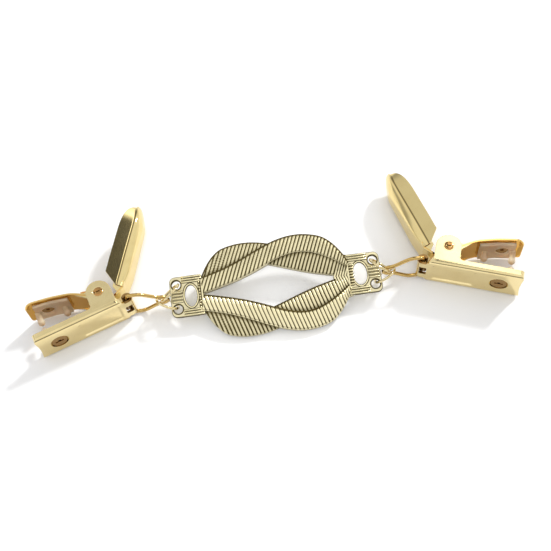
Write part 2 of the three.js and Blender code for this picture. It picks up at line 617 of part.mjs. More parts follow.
// A hollow rivet with a rolled head at each end, along y; the heads clear what lies between them
function eyelet(low, high, lowRadius, highRadius) {
  const bore = EYELET_BORE / 2;
  const barrel = EYELET_BARREL / 2;
  const roll = EYELET_HEAD / 2;
  const profile = [
    [bore, low - EYELET_HEAD + roll / 2],
    [bore + roll, low - EYELET_HEAD],
    [lowRadius - roll, low - EYELET_HEAD],
    [lowRadius, low - roll],
    [lowRadius - roll / 2, low],
    [barrel, low],
    [barrel, high],
    [highRadius - roll / 2, high],
    [highRadius, high + roll],
    [highRadius - roll, high + EYELET_HEAD],
    [bore + roll, high + EYELET_HEAD],
    [bore, high + EYELET_HEAD - roll / 2],
    [bore, low - EYELET_HEAD + roll / 2],
  ];
  return solid(new THREE.LatheGeometry(profile.map(([x, y]) => new THREE.Vector2(x, y)), 14));
}

function upperEyelet() {
  const at = JAW_LINE[2].clone().lerp(JAW_LINE[3], UPPER_EYELET_AT);
  const slope = JAW_LINE[3].clone().sub(JAW_LINE[2]).angle();
  const reach = ARM_SHEET / 2 + SEAT_GAP;
  const body = eyelet(-reach, reach, UPPER_EYELET_HEAD / 2, EYELET_BARREL / 2 + UPPER_EYELET_RIM);
  return geometryOf(body).rotateZ(slope).translate(at.x, at.y, 0);
}

function lowerEyelet() {
  const low = WEB_OUTER + DIMPLE_DEPTH - SEAT_GAP;
  const high = WEB_INNER + PAD_BASE_TOP + SEAT_GAP;
  const head = LOWER_EYELET_HEAD / 2;
  const slot = box(-head / 2, head / 2, low - 1, low - EYELET_HEAD / 2, -HEAD_SLOT / 2, HEAD_SLOT / 2);
  const body = eyelet(low, high, head, LOWER_RIM).subtract(slot);
  return geometryOf(body).translate(LOWER_EYELET_X, 0, 0);
}

// Link: a closed wire loop with a narrow nose and a straight bar, in x and z from the bar
function linkLoop() {
  const corner = -LINK_CORNER;
  const noseCentre = -LINK_LENGTH + NOSE_RADIUS;
  const upper = [];
  for (let i = 0; i <= 4; i++) {
    const turn = polar(LINK_CORNER, (90 * i) / 4);
    upper.push(new THREE.Vector2(corner + turn.x, LINK_SPREAD - LINK_CORNER + turn.y));
  }
  const legStart = corner - LINK_STRAIGHT;
  const legSteps = 8;
  for (let i = 0; i <= legSteps; i++) {
    const t = i / legSteps;
    const ease = t * t * (3 - 2 * t);
    upper.push(new THREE.Vector2(lerp(legStart, noseCentre, t), lerp(LINK_SPREAD, NOSE_RADIUS, ease)));
  }
  const noseSteps = 5;
  for (let i = 1; i <= noseSteps; i++) {
    const turn = polar(NOSE_RADIUS, 90 + (90 * i) / noseSteps);
    upper.push(new THREE.Vector2(noseCentre + turn.x, turn.y));
  }
  const lower = upper.slice(0, -1).reverse().map((point) => new THREE.Vector2(point.x, -point.y));
  const points = [...upper, ...lower].map((point) => new THREE.Vector3(point.x, 0, point.y));
  return wire(points, LINK_WIRE / 2, 7, true, new THREE.Vector3(0, 1, 0));
}

// Rings: each passes through its lug hole and the link's nose; side is 1 on the right, -1 on the left
const TILT_V = new THREE.Vector3(0, Math.cos(TILT), Math.sin(TILT));
const TILT_N = new THREE.Vector3(0, -Math.sin(TILT), Math.cos(TILT));

function ringEnds({ along, across, reach, rise }, row) {
  const hole = TILT_V.clone().multiplyScalar(row * (LUG_HOLE_V + across));
  hole.x = LUG_HOLE_U + along;
  const nose = new THREE.Vector3(NOSE_X + LINK_WIRE / 2 + RING_WIRE / 2 + reach, 0, rise);
  return { hole, nose };
}

const NEAR_ENDS = ringEnds(NEAR_RING, -1);
const RING_RADIUS = NEAR_ENDS.hole.distanceTo(NEAR_ENDS.nose) / (2 * RING_FILL);

function ring(setting, row, side) {
  const { hole, nose } = ringEnds(setting, row);
  const chord = hole.distanceTo(nose);
  const along = nose.clone().sub(hole).normalize();
  const up = TILT_N.clone().addScaledVector(along, -TILT_N.dot(along)).normalize();
  const across = along.clone().cross(up);
  const lean = rad(setting.lean);
  const toward = up.multiplyScalar(Math.cos(lean)).addScaledVector(across, Math.sin(lean));
  const centre = hole.clone().add(nose).multiplyScalar(0.5);
  centre.addScaledVector(toward, Math.sqrt(RING_RADIUS ** 2 - (chord / 2) ** 2));
  const points = [];
  const steps = 26;
  for (let i = 0; i <= steps; i++) {
    const angle = rad(90 + RING_SPLIT / 2 + ((360 - RING_SPLIT) * i) / steps);
    const point = centre.clone().addScaledVector(along, RING_RADIUS * Math.cos(angle));
    point.addScaledVector(toward, RING_RADIUS * Math.sin(angle));
    points.push(point.multiply(new THREE.Vector3(side, 1, 1)));
  }
  const axis = along.clone().cross(toward).multiply(new THREE.Vector3(side, 1, 1));
  return wire(points, RING_WIRE / 2, 6, false, axis);
}

// Ornament ribbon: over is 1 for the front ribbon and -1 for the one behind, row is 1 or -1 across the axis
function ribbon(over, row) {
  const stations = [];
  const steps = 22;
  const across = 6;
  const lap = over > 0 ? 0 : RIBBON_LAP;
  const full = RIBBON_WIDTH + lap;
  const sway = over * (STRAND_SWAY - lap / 2);
  const widthAt = (u) => {
    const outside = over * (u - CROSSING) > 0;
    const taper = THREE.MathUtils.clamp((Math.abs(u) - RIBBON_SPAN) / RIBBON_TAPER + 1, 0, 1);
    return lerp(full, RIBBON_END, outside ? taper ** 1.5 : 0);
  };
  const swingAt = (u) => (Math.PI * (u - CROSSING)) / STRAND_WAVE;
  const middleAt = (u) => {
    const fall = STRAND_FALL * (u / RIBBON_SPAN) ** 2 + (full - widthAt(u)) / 2;
    return STRAND_MID - fall + sway * Math.sin(swingAt(u));
  };
  for (let i = 0; i <= steps; i++) {
    const u = lerp(-RIBBON_SPAN, RIBBON_SPAN, i / steps);
    const swing = swingAt(u);
    const v = middleAt(u);
    const slope = (middleAt(u + 0.1) - middleAt(u - 0.1)) / 0.2;
    const width = widthAt(u);
    const near = Math.cos(THREE.MathUtils.clamp(swing, -Math.PI / 2, Math.PI / 2)) ** 2;
    const crown = lerp(END_CROWN, over > 0 ? OVER_CROWN : UNDER_CROWN, near);
    const length = Math.hypot(1, slope);
    const outer = [];
    const inner = [];
    for (let k = 0; k <= across; k++) {
      const t = lerp(-1, 1, k / across);
      const x = u - (slope / length) * t * width / 2;
      const y = v + t * width / (2 * length);
      outer.push(new THREE.Vector3(x, row * y, crown - EDGE_DROP * t * t));
      inner.push(new THREE.Vector3(x, row * y, -ORNAMENT_BACK));
    }
    stations.push({ outer, inner });
  }
  return solid(stripLoft(stations));
}

// Ornament: ribbons, a collar and a lug at each end with a window and two ring holes
function ornament() {
  let body = join(ribbon(1, 1), ribbon(-1, 1), ribbon(1, -1), ribbon(-1, -1));
  const halfLug = LUG_WIDTH / 2;
  const cut = ORNAMENT_BACK + OVER_CROWN;
  for (const side of [-1, 1]) {
    const span = (a, b) => [Math.min(side * a, side * b), Math.max(side * a, side * b)];
    const point = RIBBON_SPAN - (side > 0 ? RIGHT_COLLAR : LEFT_COLLAR);
    const collarEnd = RIBBON_SPAN + COLLAR_LAP;
    const collar = new THREE.Shape([
      new THREE.Vector2(side * point, 0),
      new THREE.Vector2(side * lerp(point, RIBBON_SPAN, 0.5), side * COLLAR_HALF * -0.55),
      new THREE.Vector2(side * RIBBON_SPAN, side * -COLLAR_HALF),
      new THREE.Vector2(side * collarEnd, side * -COLLAR_HALF),
      new THREE.Vector2(side * collarEnd, side * COLLAR_HALF),
      new THREE.Vector2(side * RIBBON_SPAN, side * COLLAR_HALF),
      new THREE.Vector2(side * lerp(point, RIBBON_SPAN, 0.5), side * COLLAR_HALF * 0.55),
    ]);
    const [l0, l1] = span(LUG_ROOT, LUG_END);
    const lug = roundedRectangle(l0, l1, -halfLug, halfLug, LUG_CORNER);
    const [r0, r1] = span(LUG_ROOT, LUG_HOLE_U - LUG_HOLE_RADIUS);
    body = body
      .add(solid(extrudeZ(collar, -ORNAMENT_BACK, COLLAR_TOP)))
      .add(solid(extrudeZ(lug, -LUG_THICK / 2, LUG_THICK / 2, 5)))
      .add(box(r0, r1, halfLug - RAIL_WIDTH, halfLug, 0, RAIL_TOP))
      .add(box(r0, r1, -halfLug, -halfLug + RAIL_WIDTH, 0, RAIL_TOP));
    const window = side > 0 ? RIGHT_WINDOW : LEFT_WINDOW;
    const opening = new THREE.Shape();
    opening.absellipse(side * WINDOW_CENTRE, 0, window.x / 2, window.y / 2, 0, 2 * Math.PI);
    body = body.subtract(solid(extrudeZ(opening, -cut, cut, 10)));
    for (const row of [-1, 1]) {
      body = body.subtract(barZ(LUG_HOLE_RADIUS, side * LUG_HOLE_U, row * LUG_HOLE_V, -cut, cut, 18));
    }
  }
  return body;
}

// Assembly

function piece(name, geometry, colour, roughness, metalness) {
  const material = new THREE.MeshStandardMaterial({ color: colour, roughness, metalness });
  const mesh = new THREE.Mesh(geometry, material);
  mesh.name = name;
  return mesh;
}

const spring = springPoints();
console.log(`spring: least gap to itself ${leastGap(spring, SPRING_WIRE).toFixed(2)} mm`);

const assembly = new THREE.Group();
const middle = new THREE.Group();
middle.position.z = HALF;
assembly.add(middle);

const twist = piece('ornament', geometryOf(ornament()), 0xe9dcae, 0.35, 1);
twist.rotation.x = TILT;
middle.add(twist);

for (const side of [1, -1]) {
  const hand = side > 0 ? 'right' : 'left';
  middle.add(piece(`${hand}_ring_far`, ring(FAR_RING, 1, side), 0xdcc27a, 0.25, 1));
  middle.add(piece(`${hand}_ring_near`, ring(NEAR_RING, -1, side), 0xdcc27a, 0.25, 1));

  const end = new THREE.Group();
  end.position.x = side * KNUCKLE_X;
  end.rotation.y = side > 0 ? 0 : Math.PI;
  middle.add(end);
  end.add(piece(`${hand}_link`, linkLoop(), 0xd8b46a, 0.25, 1));

  const clip = new THREE.Group();
  clip.rotation.z = -rad(CLIP_SWING);
  end.add(clip);
  const springWire = wire(spring, SPRING_WIRE / 2, 5, false, new THREE.Vector3(0, 0, 1));
  clip.add(piece(`${hand}_clip_body`, geometryOf(clipBody()), 0xe3d3a0, 0.22, 1));
  clip.add(piece(`${hand}_clip_arm`, geometryOf(clipArm()), 0xe6d294, 0.22, 1));
  clip.add(piece(`${hand}_spring`, springWire, 0xc98d4a, 0.3, 1));
  clip.add(piece(`${hand}_upper_pad`, geometryOf(upperPad()), 0xcfc4b8, 0.5, 0));
  clip.add(piece(`${hand}_lower_pad`, geometryOf(lowerPad()), 0xcfc4b8, 0.5, 0));
  clip.add(piece(`${hand}_upper_eyelet`, upperEyelet(), 0xa98a4e, 0.3, 1));
  clip.add(piece(`${hand}_lower_eyelet`, lowerEyelet(), 0xd9b873, 0.3, 1));
}

// The origin is on the surface that the clips lie on, under the middle of the whole piece
const extent = new THREE.Box3().setFromObject(assembly, true);
const centre = extent.getCenter(new THREE.Vector3());
assembly.position.set(-centre.x, -centre.y, -extent.min.z);
assembly.name = 'dress_cincher_clip';
assembly.updateMatrixWorld(true);

export default assembly;
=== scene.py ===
"""Dress cincher clip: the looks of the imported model, laid out as an add-on and run as a script."""

import json
import math

import bmesh
import bpy
from bpy.props import FloatProperty, FloatVectorProperty, IntProperty, PointerProperty
from mathutils import Matrix, Vector


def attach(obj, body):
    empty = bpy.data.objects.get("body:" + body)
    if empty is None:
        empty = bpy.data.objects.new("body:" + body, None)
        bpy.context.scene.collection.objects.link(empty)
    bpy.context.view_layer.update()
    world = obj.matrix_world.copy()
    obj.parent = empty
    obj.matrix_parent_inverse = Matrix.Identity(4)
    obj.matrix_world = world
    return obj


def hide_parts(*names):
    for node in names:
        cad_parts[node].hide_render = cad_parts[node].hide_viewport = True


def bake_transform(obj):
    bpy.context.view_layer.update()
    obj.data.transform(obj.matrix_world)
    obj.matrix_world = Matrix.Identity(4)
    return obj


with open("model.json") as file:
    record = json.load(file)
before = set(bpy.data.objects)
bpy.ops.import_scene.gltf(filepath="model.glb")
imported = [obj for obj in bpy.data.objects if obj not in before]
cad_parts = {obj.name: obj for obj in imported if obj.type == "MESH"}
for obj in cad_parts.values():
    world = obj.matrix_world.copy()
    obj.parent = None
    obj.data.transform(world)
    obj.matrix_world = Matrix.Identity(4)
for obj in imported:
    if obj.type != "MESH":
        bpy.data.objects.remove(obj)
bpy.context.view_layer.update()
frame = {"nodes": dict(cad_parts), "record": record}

bl_info = {
    "name": "Dress cincher clip",
    "version": (1, 0, 0),
    "blender": (4, 5, 0),
    "location": "View3D > Sidebar > Cincher",
    "description": "Builds the finished pieces of a dress cincher clip round its packed model",
    "category": "Object",
}

MM = 0.001
HANDS = (("right", 1), ("left", -1))
ROWS = (1, -1)
JOINTS = {joint["name"]: joint for joint in frame["record"]["behaviour"]["joints"]}
NEAR = 0.05  # reach in millimetres when points of a mesh are picked by their place
MERGE = 1e-4  # points closer than this are one, in millimetres
WELD = 2e-6  # the same for copies of the solids, in metres

# Folds sharper than these angles keep their edge, in degrees
CAST_SHARP, WIRE_SHARP, SHEET_SHARP = 50, 60, 28
BODY_SHARP, ARM_SHARP, PAD_SHARP, EYELET_SHARP = 30, 35, 50, 40

# Clips, in millimetres from the knuckle axis and in degrees
HALF_WIDTH = 5.5
CLIP_SWING = 20
PIVOT = (6.3, 4.65)
COIL_RADIUS, COIL_HALF, COIL_TURNS = 2.0, 3.2, 4
JAW_LEG, JAW_LEG_ANGLE = 5.2, 13
BODY_LEG, BODY_LEG_ANGLE = 6.3, 245
BOSS_RADIUS, BOSS_BORE, BOSS_ROOT = 0.9, 0.55, 0.3
EAR_RADIUS, EAR_FOOT, EAR_HOLE, EAR_SHEET, EAR_PROUD = 3.5, 4.9, 1.5, 0.72, 0.02
PIVOT_END, PIVOT_SLOT = 1.36, 0.2
PIVOT_PROFILE = ((1.0, -0.35), (1.0, 0.05), (0.86, 0.17), (0.6, 0.22))  # share of the radius, height
PANEL = (2.6, 15.2, 3.7)  # start, end and half width
PANEL_TOP, PANEL_SLOPE, WEB_FACE = -1.85, 0.55, -1.55
RELIEF, RELIEF_TALL, RELIEF_LONG = (1.0, 1.3), 1.7, 0.1
# Faces of the knuckle inside these radii get painted shade
KNUCKLE_BORE, RELIEF_BORE = 1.2, 1.5

# Jaw arm; the lever's runs and its fall are shares of its length
ARM_SHEET, NECK_SHEET = 0.6, 0.588
JAW_LINE = ((9.7, 5.95), (13.6, 8.4), (19.2, 9.95), (24.9, 10.95))
JAW_BEND, JAW_HALF, JAW_CORNER = 1.6, 4.5, 2.0
LIP_LENGTH, LIP_ANGLE = 1.8, -20
NECK_HALF, FOOT_HALF = 2.5, 3.7
CRADLE_RADIUS, CRADLE_END = 3.55, -150
CHEEK_RADIUS, CHEEK_INNER, CHEEK_SHEET, CHEEK_LEAN = 2.3, 3.9, 0.55, 60
CHEEK_TIPS = ((0.8, 0.7), (0.2, 0.3))
LEVER_BASE, LEVER_ANGLE, LEVER_LENGTH = (0.9, 5.1), 126, 29.2
LEVER_HALF, LEVER_FOLD, LEVER_CREASE = 5.05, 4.4, (3.8, 1.2)
LEVER_WAIST, LEVER_WAIST_RUN = 0.94, 0.27
LEVER_DEPTH, LEVER_DEPTH_RUN = (1.8, 2.3), (0.0, 0.2)
LEVER_THIN, LEVER_THIN_RUN = 0.12, (0.7, 1)
LEVER_FLANGE, LEVER_RISE, LEVER_FALL, LEVER_LEAST = 3.9, (0.08, 8), (0.6, 0.93), 0.06
LEVER_SHOULDER, LEVER_BEND = (0.45, 0.45), 1.0
LEVER_SOFT, LEVER_SOFT_RUN = (0.45, 1.0), (0.75, 0.95)
LEVER_CREASES = (3, 4, 5, 38, 39, 40)  # points of a section on its sharp folds
LEVER_NOSE, LEVER_CURL, LEVER_CURL_RUN, LEVER_FOOT = 9.0, 1.2, (0.66, 0.34), 1.5
# The painted shade on the lever's folds fades out between these shares of its stations
CREASE_FADE = (0.6, 0.85)

# Links and rings
LINK_LENGTH, LINK_SPREAD, LINK_CORNER, LINK_STRAIGHT = 11, 4.85, 1.05, 1.6
NOSE_RADIUS, NOSE_X = 1.7, 30.47
# How far from the knuckle axis the link's bar gets painted shade
BAR_REACH = 0.7
LINK_RADIUS, RING_RADIUS = 0.55, 0.4  # wires of the solids
RING_SPLIT, RING_FILL = 4, 0.993
RINGS = {
    "far": {"row": 1, "along": -0.198, "across": 0.445, "reach": 0.797, "rise": -0.188, "lean": 20.74},
    "near": {"row": -1, "along": 0.244, "across": -0.208, "reach": 2.161, "rise": 0.371, "lean": -155.8},
}

# Ornament, along its axis (u), across it (v) and out of its face (n)
TILT = math.radians(16)
SPAN = 20.6
BACK = -1.2
HOLE_U, HOLE_V, HOLE_RADIUS = 27.8, 3.2, 1.3
LUG_ROOT, LUG_END, LUG_HALF, LUG_CORNER, LUG_THICK, LUG_EDGE = 20.5, 29.7, 5.8, 1.6, 1.2, 0.2
LUG_HOLE_V = 3.45
WINDOW_U = 23.9
WINDOWS = {1: (2.0, 3.25), -1: (1.75, 3.1)}
WINDOW_RIM = ((0.24, 0.26, 0.0), (0.52, 0.2, 1.0), (0.1, 0.14, 1.0))  # distance from the edge, radius, and darkness as painted shade
HOLE_RIM = ((0.14, 0.2, 1.0),)
RIM_FLAT, RIM_SINK = 0.3, 0.6
RIBBON_WIDTH, RIBBON_END, RIBBON_TAPER, RIBBON_LAP = 5.2, 1.5, 7.5, 0.9
TIP_OPEN, TIP_NARROW, TIP_RUN = 0.75, 0.8, (3, 18)
STRAND_MID, STRAND_FALL, STRAND_SWAY, STRAND_WAVE, CROSSING = 9.2, 5.3, 3.0, 25.0, -1.0
SLOPE_STEP = 0.1
OVER_CROWN, UNDER_CROWN, OVER_END, UNDER_END = 1.6, 0.65, 1.0, 0.5
EDGE_DROP, EDGE_ROLL = 0.25, 0.3
ROW_SLOPE, ROW_REACH = 0.1, 3
RIB_MARGIN, RIB_FINE_FROM, RIB_FINE, GROOVE = 0.25, 16.5, 0.45, (0.46, 0.96)
COLLAR_TOP, COLLAR_HALF, COLLAR_LAP, COLLAR_TIP, COLLAR_KNEE = 0.7, 5.6, 0.2, 0.05, 0.55
COLLAR_POINT, COLLAR_PLAIN = {1: 4.3, -1: 0.4}, (0.6, 0.2)
RAIL_WIDTH, RAIL_TOP, RAIL_END, RAIL_RIDGES = 2.1, 1.0, 26.3, 3
RAIL_RAMP, RAIL_DROP, RAIL_GROOVE = 0.3, 0.25, 0.28
GROUND_CORNER, GROUND_THICK, GROUND_EDGE = 0.25, 0.1, 0.02
GROUNDS = {  # start, end, half width and stain of the dark ground under a row
    "dash": (20.7, 22.0, 3.2, 0.9),
    "seam": (-21.75, -20.9, 4.7, 0.9),
    "right_bar": (26.1, 29.3, 1.75, 0.6),
    "left_bar": (-29.3, -26.1, 1.75, 0.6),
}
RIDGE_ROWS = {  # count, first place, step across and half sizes of a row of ridges
    "dashes": (8, (21.5, -2.8), 0.8, (0.8, 0.26, 0.36)),
    "seam": (12, (-21.35, -4.4), 0.8, (0.3, 0.34, 0.35)),
    "right_bars": (4, (27.7, -1.35), 0.9, (1.7, 0.3, 0.25)),
    "left_bars": (4, (-27.7, -1.35), 0.9, (1.7, 0.3, 0.25)),
}

# Dark tone on the ornament, from 0 on bare plating to 1 in the grooves: patina in the grooves, and painted
# shade on walls, on edges that face away, over the far row and on the back ribbons
# Patina along both edges of a ribbon; the edges that face away are much darker, as painted shade
EDGE_SHADE, FACING_SHADE, EDGE_SHADE_RUN = 1.0, 0.25, (0.3, 0.75)
# Painted shade over the far row, and on the back ribbons all along, most beside the front ribbon's edge
FAR_PAINTED_SHADE, LEE_PAINTED_SHADE, BACK_PAINTED_SHADE, LAP_PAINTED_SHADE, LAP_RUN = 0.22, 0.34, 0.24, 0.3, 1.5
# Walls, lug edges and rail walls carry painted shade; the collar and lug faces are a darker tone, and the rail
# grooves hold patina
WALL_SHADE, COLLAR_SHADE, LUG_FACE_SHADE, LUG_EDGE_SHADE = 0.6, 0.15, 0.3, 0.9
RAIL_SHADE, RAIL_SHADE_RUN, RAIL_WALL_SHADE = 0.95, (0.2, 0.75), 0.5

# Tints of the plating: deeper where its tone varies at random, deeper amber on faces turned inward and dark
# brown on folds and on the link's bar in the knuckle, both as painted shade, and of the pivots
DEEP_TINT, INWARD_SHADE_TINT, PAINTED_SHADE_TINT = (0.78, 0.70, 0.55), (0.9, 0.6, 0.22), (0.16, 0.13, 0.08)
PIVOT_TINT = (0.7, 0.7, 0.7)

# Studio: panels behind the piece from left to right, with the light that each gives
STUDIO_TONES = (
    (0.06, 0.18), (0.16, 0.46), (0.3, 0.48), (0.36, 0.46), (0.4, 0.37), (0.45, 0.39),
    (0.485, 0.36), (0.505, 0.3), (0.52, 0.05), (0.566, 0.05), (0.577, 0.3), (0.584, 0.8),
    (0.592, 1.3), (0.61, 1.3), (0.65, 0.42), (0.75, 0.48),
)
STUDIO_PEAK, STUDIO_GAIN, STUDIO_ROUND = 1.5, 2.0, 1.05
BEHIND_BACK, BEHIND_UP = (-0.02, 0.34), (0.08, 0.24)
LOW_UP, LOW_SIDE, LOW_DIM = (0.3, 0.7), (0.3, 0.6), 0.4
FRONT_NEAR, FRONT_FLOOR, FRONT_UP, FRONT_DIM = (0.35, 0.7), (0.05, 0.15), (0.45, 0.65), 0.75
KEY_AZIMUTH, KEY_HEIGHT, KEY_SOFT = 40, 36, 7
TOP_FROM, TOP_DISTANCE, TOP_CONE, TOP_BLEND, TOP_SIZE = (0, -0.45, 0.9), 0.4, 11, 0.6, 0.04
FLOOR_HALF = 3
PAPER = ((0.93, 0.93, 0.935), (0.95, 0.95, 0.95))
SENSOR, NEAREST = 36, 0.01


class CINCHER_PG_casting(bpy.types.PropertyGroup):
    """Sizes and colours of the ribbed ornament."""

    rib_pitch: FloatProperty(
        name="Rib pitch", description="Distance from rib to rib along the ornament",
        default=1.08 * MM, unit="LENGTH", precision=5)
    rib_depth: FloatProperty(
        name="Rib depth", description="Depth of the grooves between the ribs",
        default=0.22 * MM, unit="LENGTH", precision=5)
    lean_far: FloatProperty(
        name="Lean, far half", description="Lean of the ribs in the far half",
        default=math.radians(22), subtype="ANGLE")
    lean_near: FloatProperty(
        name="Lean, near half", description="Lean of the ribs in the near half",
        default=math.radians(17), subtype="ANGLE")
    gold: FloatVectorProperty(
        name="Gold", description="Plating on the ribs",
        default=(0.90, 0.81, 0.51), subtype="COLOR", size=3)
    # Also the colour of the painted shade on walls, edges, rims and back ribbons
    dark: FloatVectorProperty(
        name="Antique", description="Dark finish in the grooves",
        default=(0.075, 0.054, 0.011), subtype="COLOR", size=3)


class CINCHER_PG_wires(bpy.types.PropertyGroup):
    """Wire sizes and colours of rings, links and springs."""

    ring_wire: FloatProperty(
        name="Ring wire", description="Diameter of the jump rings' wire",
        default=0.73 * MM, unit="LENGTH", precision=5)
    link_wire: FloatProperty(
        name="Link wire", description="Diameter of the links' wire",
        default=1.03 * MM, unit="LENGTH", precision=5)
    spring_wire: FloatProperty(
        name="Spring wire", description="Diameter of the torsion springs' wire",
        default=0.8 * MM, unit="LENGTH", precision=5)
    sides: IntProperty(name="Sides", description="Facets round a wire", default=20, min=6)
    ring_gold: FloatVectorProperty(
        name="Ring gold", description="Plating of the rings",
        default=(0.80, 0.68, 0.40), subtype="COLOR", size=3)
    link_gold: FloatVectorProperty(
        name="Link gold", description="Plating of the links",
        default=(0.64, 0.44, 0.155), subtype="COLOR", size=3)
    copper: FloatVectorProperty(
        name="Copper", description="Colour of the springs and pivots",
        default=(0.72, 0.40, 0.14), subtype="COLOR", size=3)


class CINCHER_PG_clips(bpy.types.PropertyGroup):
    """Finish of the clips."""

    edge: FloatProperty(
        name="Edge", description="Rounding of the sheet metal edges",
        default=0.12 * MM, unit="LENGTH", precision=5)
    gold: FloatVectorProperty(
        name="Clip gold", description="Plating of the clip bodies",
        default=(0.82, 0.68, 0.36), subtype="COLOR", size=3)
    lever_gold: FloatVectorProperty(
        name="Lever gold", description="Plating of the levers and jaws",
        default=(0.80, 0.65, 0.31), subtype="COLOR", size=3)
    # Also the colour of the painted shade inside the knuckles
    eyelet_gold: FloatVectorProperty(
        name="Eyelet gold", description="Plating of the eyelets",
        default=(0.34, 0.20, 0.07), subtype="COLOR", size=3)
    pad: FloatVectorProperty(
        name="Pad", description="Milky plastic of the pads",
        default=(1.0, 0.80, 0.58), subtype="COLOR", size=3)


class CINCHER_PG_stage(bpy.types.PropertyGroup):
    """Camera and light."""

    elevation: FloatProperty(
        name="Elevation", description="Height of the camera above the horizon",
        default=math.radians(61.4), subtype="ANGLE")
    roll: FloatProperty(
        name="Roll", description="Turn of the camera about its own axis",
        default=math.radians(7.45), subtype="ANGLE")
    distance: FloatProperty(
        name="Distance", description="From the camera to its target",
        default=0.2558, unit="LENGTH")
    lens: FloatProperty(
        name="Lens", description="Focal length on a 36 mm sensor",
        default=57.7, unit="CAMERA")
    target: FloatVectorProperty(
        name="Target", description="Point on the floor that the camera looks at",
        default=(0.0003, -0.0041, 0.0), subtype="TRANSLATION", size=3)
    key: FloatProperty(name="Key", description="Strength of the key light", default=2.0)
    fill: FloatProperty(name="Fill", description="Strength of the surrounding light", default=1.0)
    top: FloatProperty(
        name="Top", description="Power of the small lamp above the ornament",
        default=2.2, unit="POWER")


# Node trees

class Value:
    """A number socket; operators on it add Math nodes."""

    def __init__(self, graph, socket):
        self.graph, self.socket = graph, socket

    def __add__(self, other): return self.graph.math("ADD", self, other)
    def __radd__(self, other): return self.graph.math("ADD", other, self)
    def __sub__(self, other): return self.graph.math("SUBTRACT", self, other)
    def __rsub__(self, other): return self.graph.math("SUBTRACT", other, self)
    def __mul__(self, other): return self.graph.math("MULTIPLY", self, other)
    def __rmul__(self, other): return self.graph.math("MULTIPLY", other, self)
    def __truediv__(self, other): return self.graph.math("DIVIDE", self, other)
    def __abs__(self): return self.graph.math("ABSOLUTE", self)

    def smooth(self, low, high):
        """0 below low, 1 above high, eased between them."""
        inputs = {"Value": self, "From Min": low, "From Max": high}
        return self.graph.add("ShaderNodeMapRange", inputs, interpolation_type="SMOOTHSTEP")


class Graph:
    """A node tree that is filled from Python."""

    def __init__(self, tree):
        self.tree = tree

    def node(self, kind, inputs=None, stops=None, **settings):
        node = self.tree.nodes.new(kind)
        for name, value in settings.items():
            setattr(node, name, value)
        if stops:
            ramp = node.color_ramp.elements
            while len(ramp) < len(stops):
                ramp.new(0.5)
            for element, (position, colour) in zip(ramp, stops):
                element.position, element.color = position, colour
        self.set_sockets(node, inputs or {})
        return node

    def set_sockets(self, node, values):
        """Sets or links a node's inputs, by name or number."""
        for key, value in values.items():
            if isinstance(value, Value):
                self.tree.links.new(value.socket, node.inputs[key])
            else:
                node.inputs[key].default_value = value

    def add(self, kind, inputs=None, output=0, stops=None, **settings):
        return Value(self, self.node(kind, inputs, stops, **settings).outputs[output])

    def math(self, operation, *values):
        return self.add("ShaderNodeMath", dict(enumerate(values)), operation=operation)

    def mix(self, factor, a, b):
        """A mix of two colours."""
        return self.add("ShaderNodeMix", {0: factor, 6: a, 7: b}, output=2, data_type="RGBA")

    def noise(self, scale, detail=2.0, stretch=(1, 1, 1)):
        """Noise on object coordinates; scale is in waves per metre."""
        coords = self.add("ShaderNodeTexCoord", output="Object")
        coords = self.add("ShaderNodeMapping", {"Vector": coords, "Scale": stretch})
        return self.add("ShaderNodeTexNoise", {"Vector": coords, "Scale": scale, "Detail": detail})

    def bump(self, height, strength, distance):
        """A bumped normal; distance is in metres."""
        return self.add("ShaderNodeBump", {"Strength": strength, "Distance": distance, "Height": height})

    def carried(self, name):
        """A number that the mesh carries at each point, for a shader."""
        return self.add("ShaderNodeAttribute", output="Fac", attribute_name=name)

    def stored(self, name):
        """A number that the mesh carries at each point, for a geometry tree."""
        return self.add("GeometryNodeInputNamedAttribute", {"Name": name}, data_type="FLOAT")

    def store(self, geometry, name, value):
        """The geometry with a number stored at each point."""
        inputs = {"Geometry": geometry, "Name": name, "Value": value}
        return self.add("GeometryNodeStoreNamedAttribute", inputs, data_type="FLOAT", domain="POINT")


def rgba(colour):
    return (*colour, 1.0)


def tinted(colour, tint):
    return tuple(c * f for c, f in zip(colour, tint))


def new_material(name):
    """A material with a bare Principled shader, and its graph."""
    material = bpy.data.materials.new(name)
    material.use_nodes = True
    tree = material.node_tree
    tree.nodes.clear()
    graph = Graph(tree)
    shader = graph.node("ShaderNodeBsdfPrincipled")
    output = graph.node("ShaderNodeOutputMaterial")
    tree.links.new(shader.outputs[0], output.inputs[0])
    return material, graph, shader


def plated_metal(name, colour, roughness, toning=0.25):
    """Polished plating: faint toning, fine polishing marks, the slight waves of pressed sheet, and painted
    shade where the mesh marks faces turned inward, folds and the link's bar in the knuckle.
    """
    material, graph, shader = new_material(name)
    tone = graph.noise(220).smooth(0.35, 0.75) * toning
    marks = graph.noise(2400, 3.0, (1, 1, 0.25))
    waves = graph.noise(130, 1.0)
    gold = graph.mix(tone, rgba(colour), rgba(tinted(colour, DEEP_TINT)))
    # Painted shade: a deeper amber on faces turned inward, and dark brown on folds and on the link's bar in
    # the knuckle
    gold = graph.mix(graph.carried("inward_painted_shade") * 0.9, gold, rgba(tinted(colour, INWARD_SHADE_TINT)))
    gold = graph.mix(graph.carried("fold_and_bore_shade") * 0.85, gold, rgba(tinted(colour, PAINTED_SHADE_TINT)))
    graph.set_sockets(shader, {
        "Base Color": gold,
        "Metallic": 1.0,
        "Roughness": marks * 0.08 + (roughness - 0.04),
        "Normal": graph.bump(waves, 0.1, 0.0001),
    })
    return material


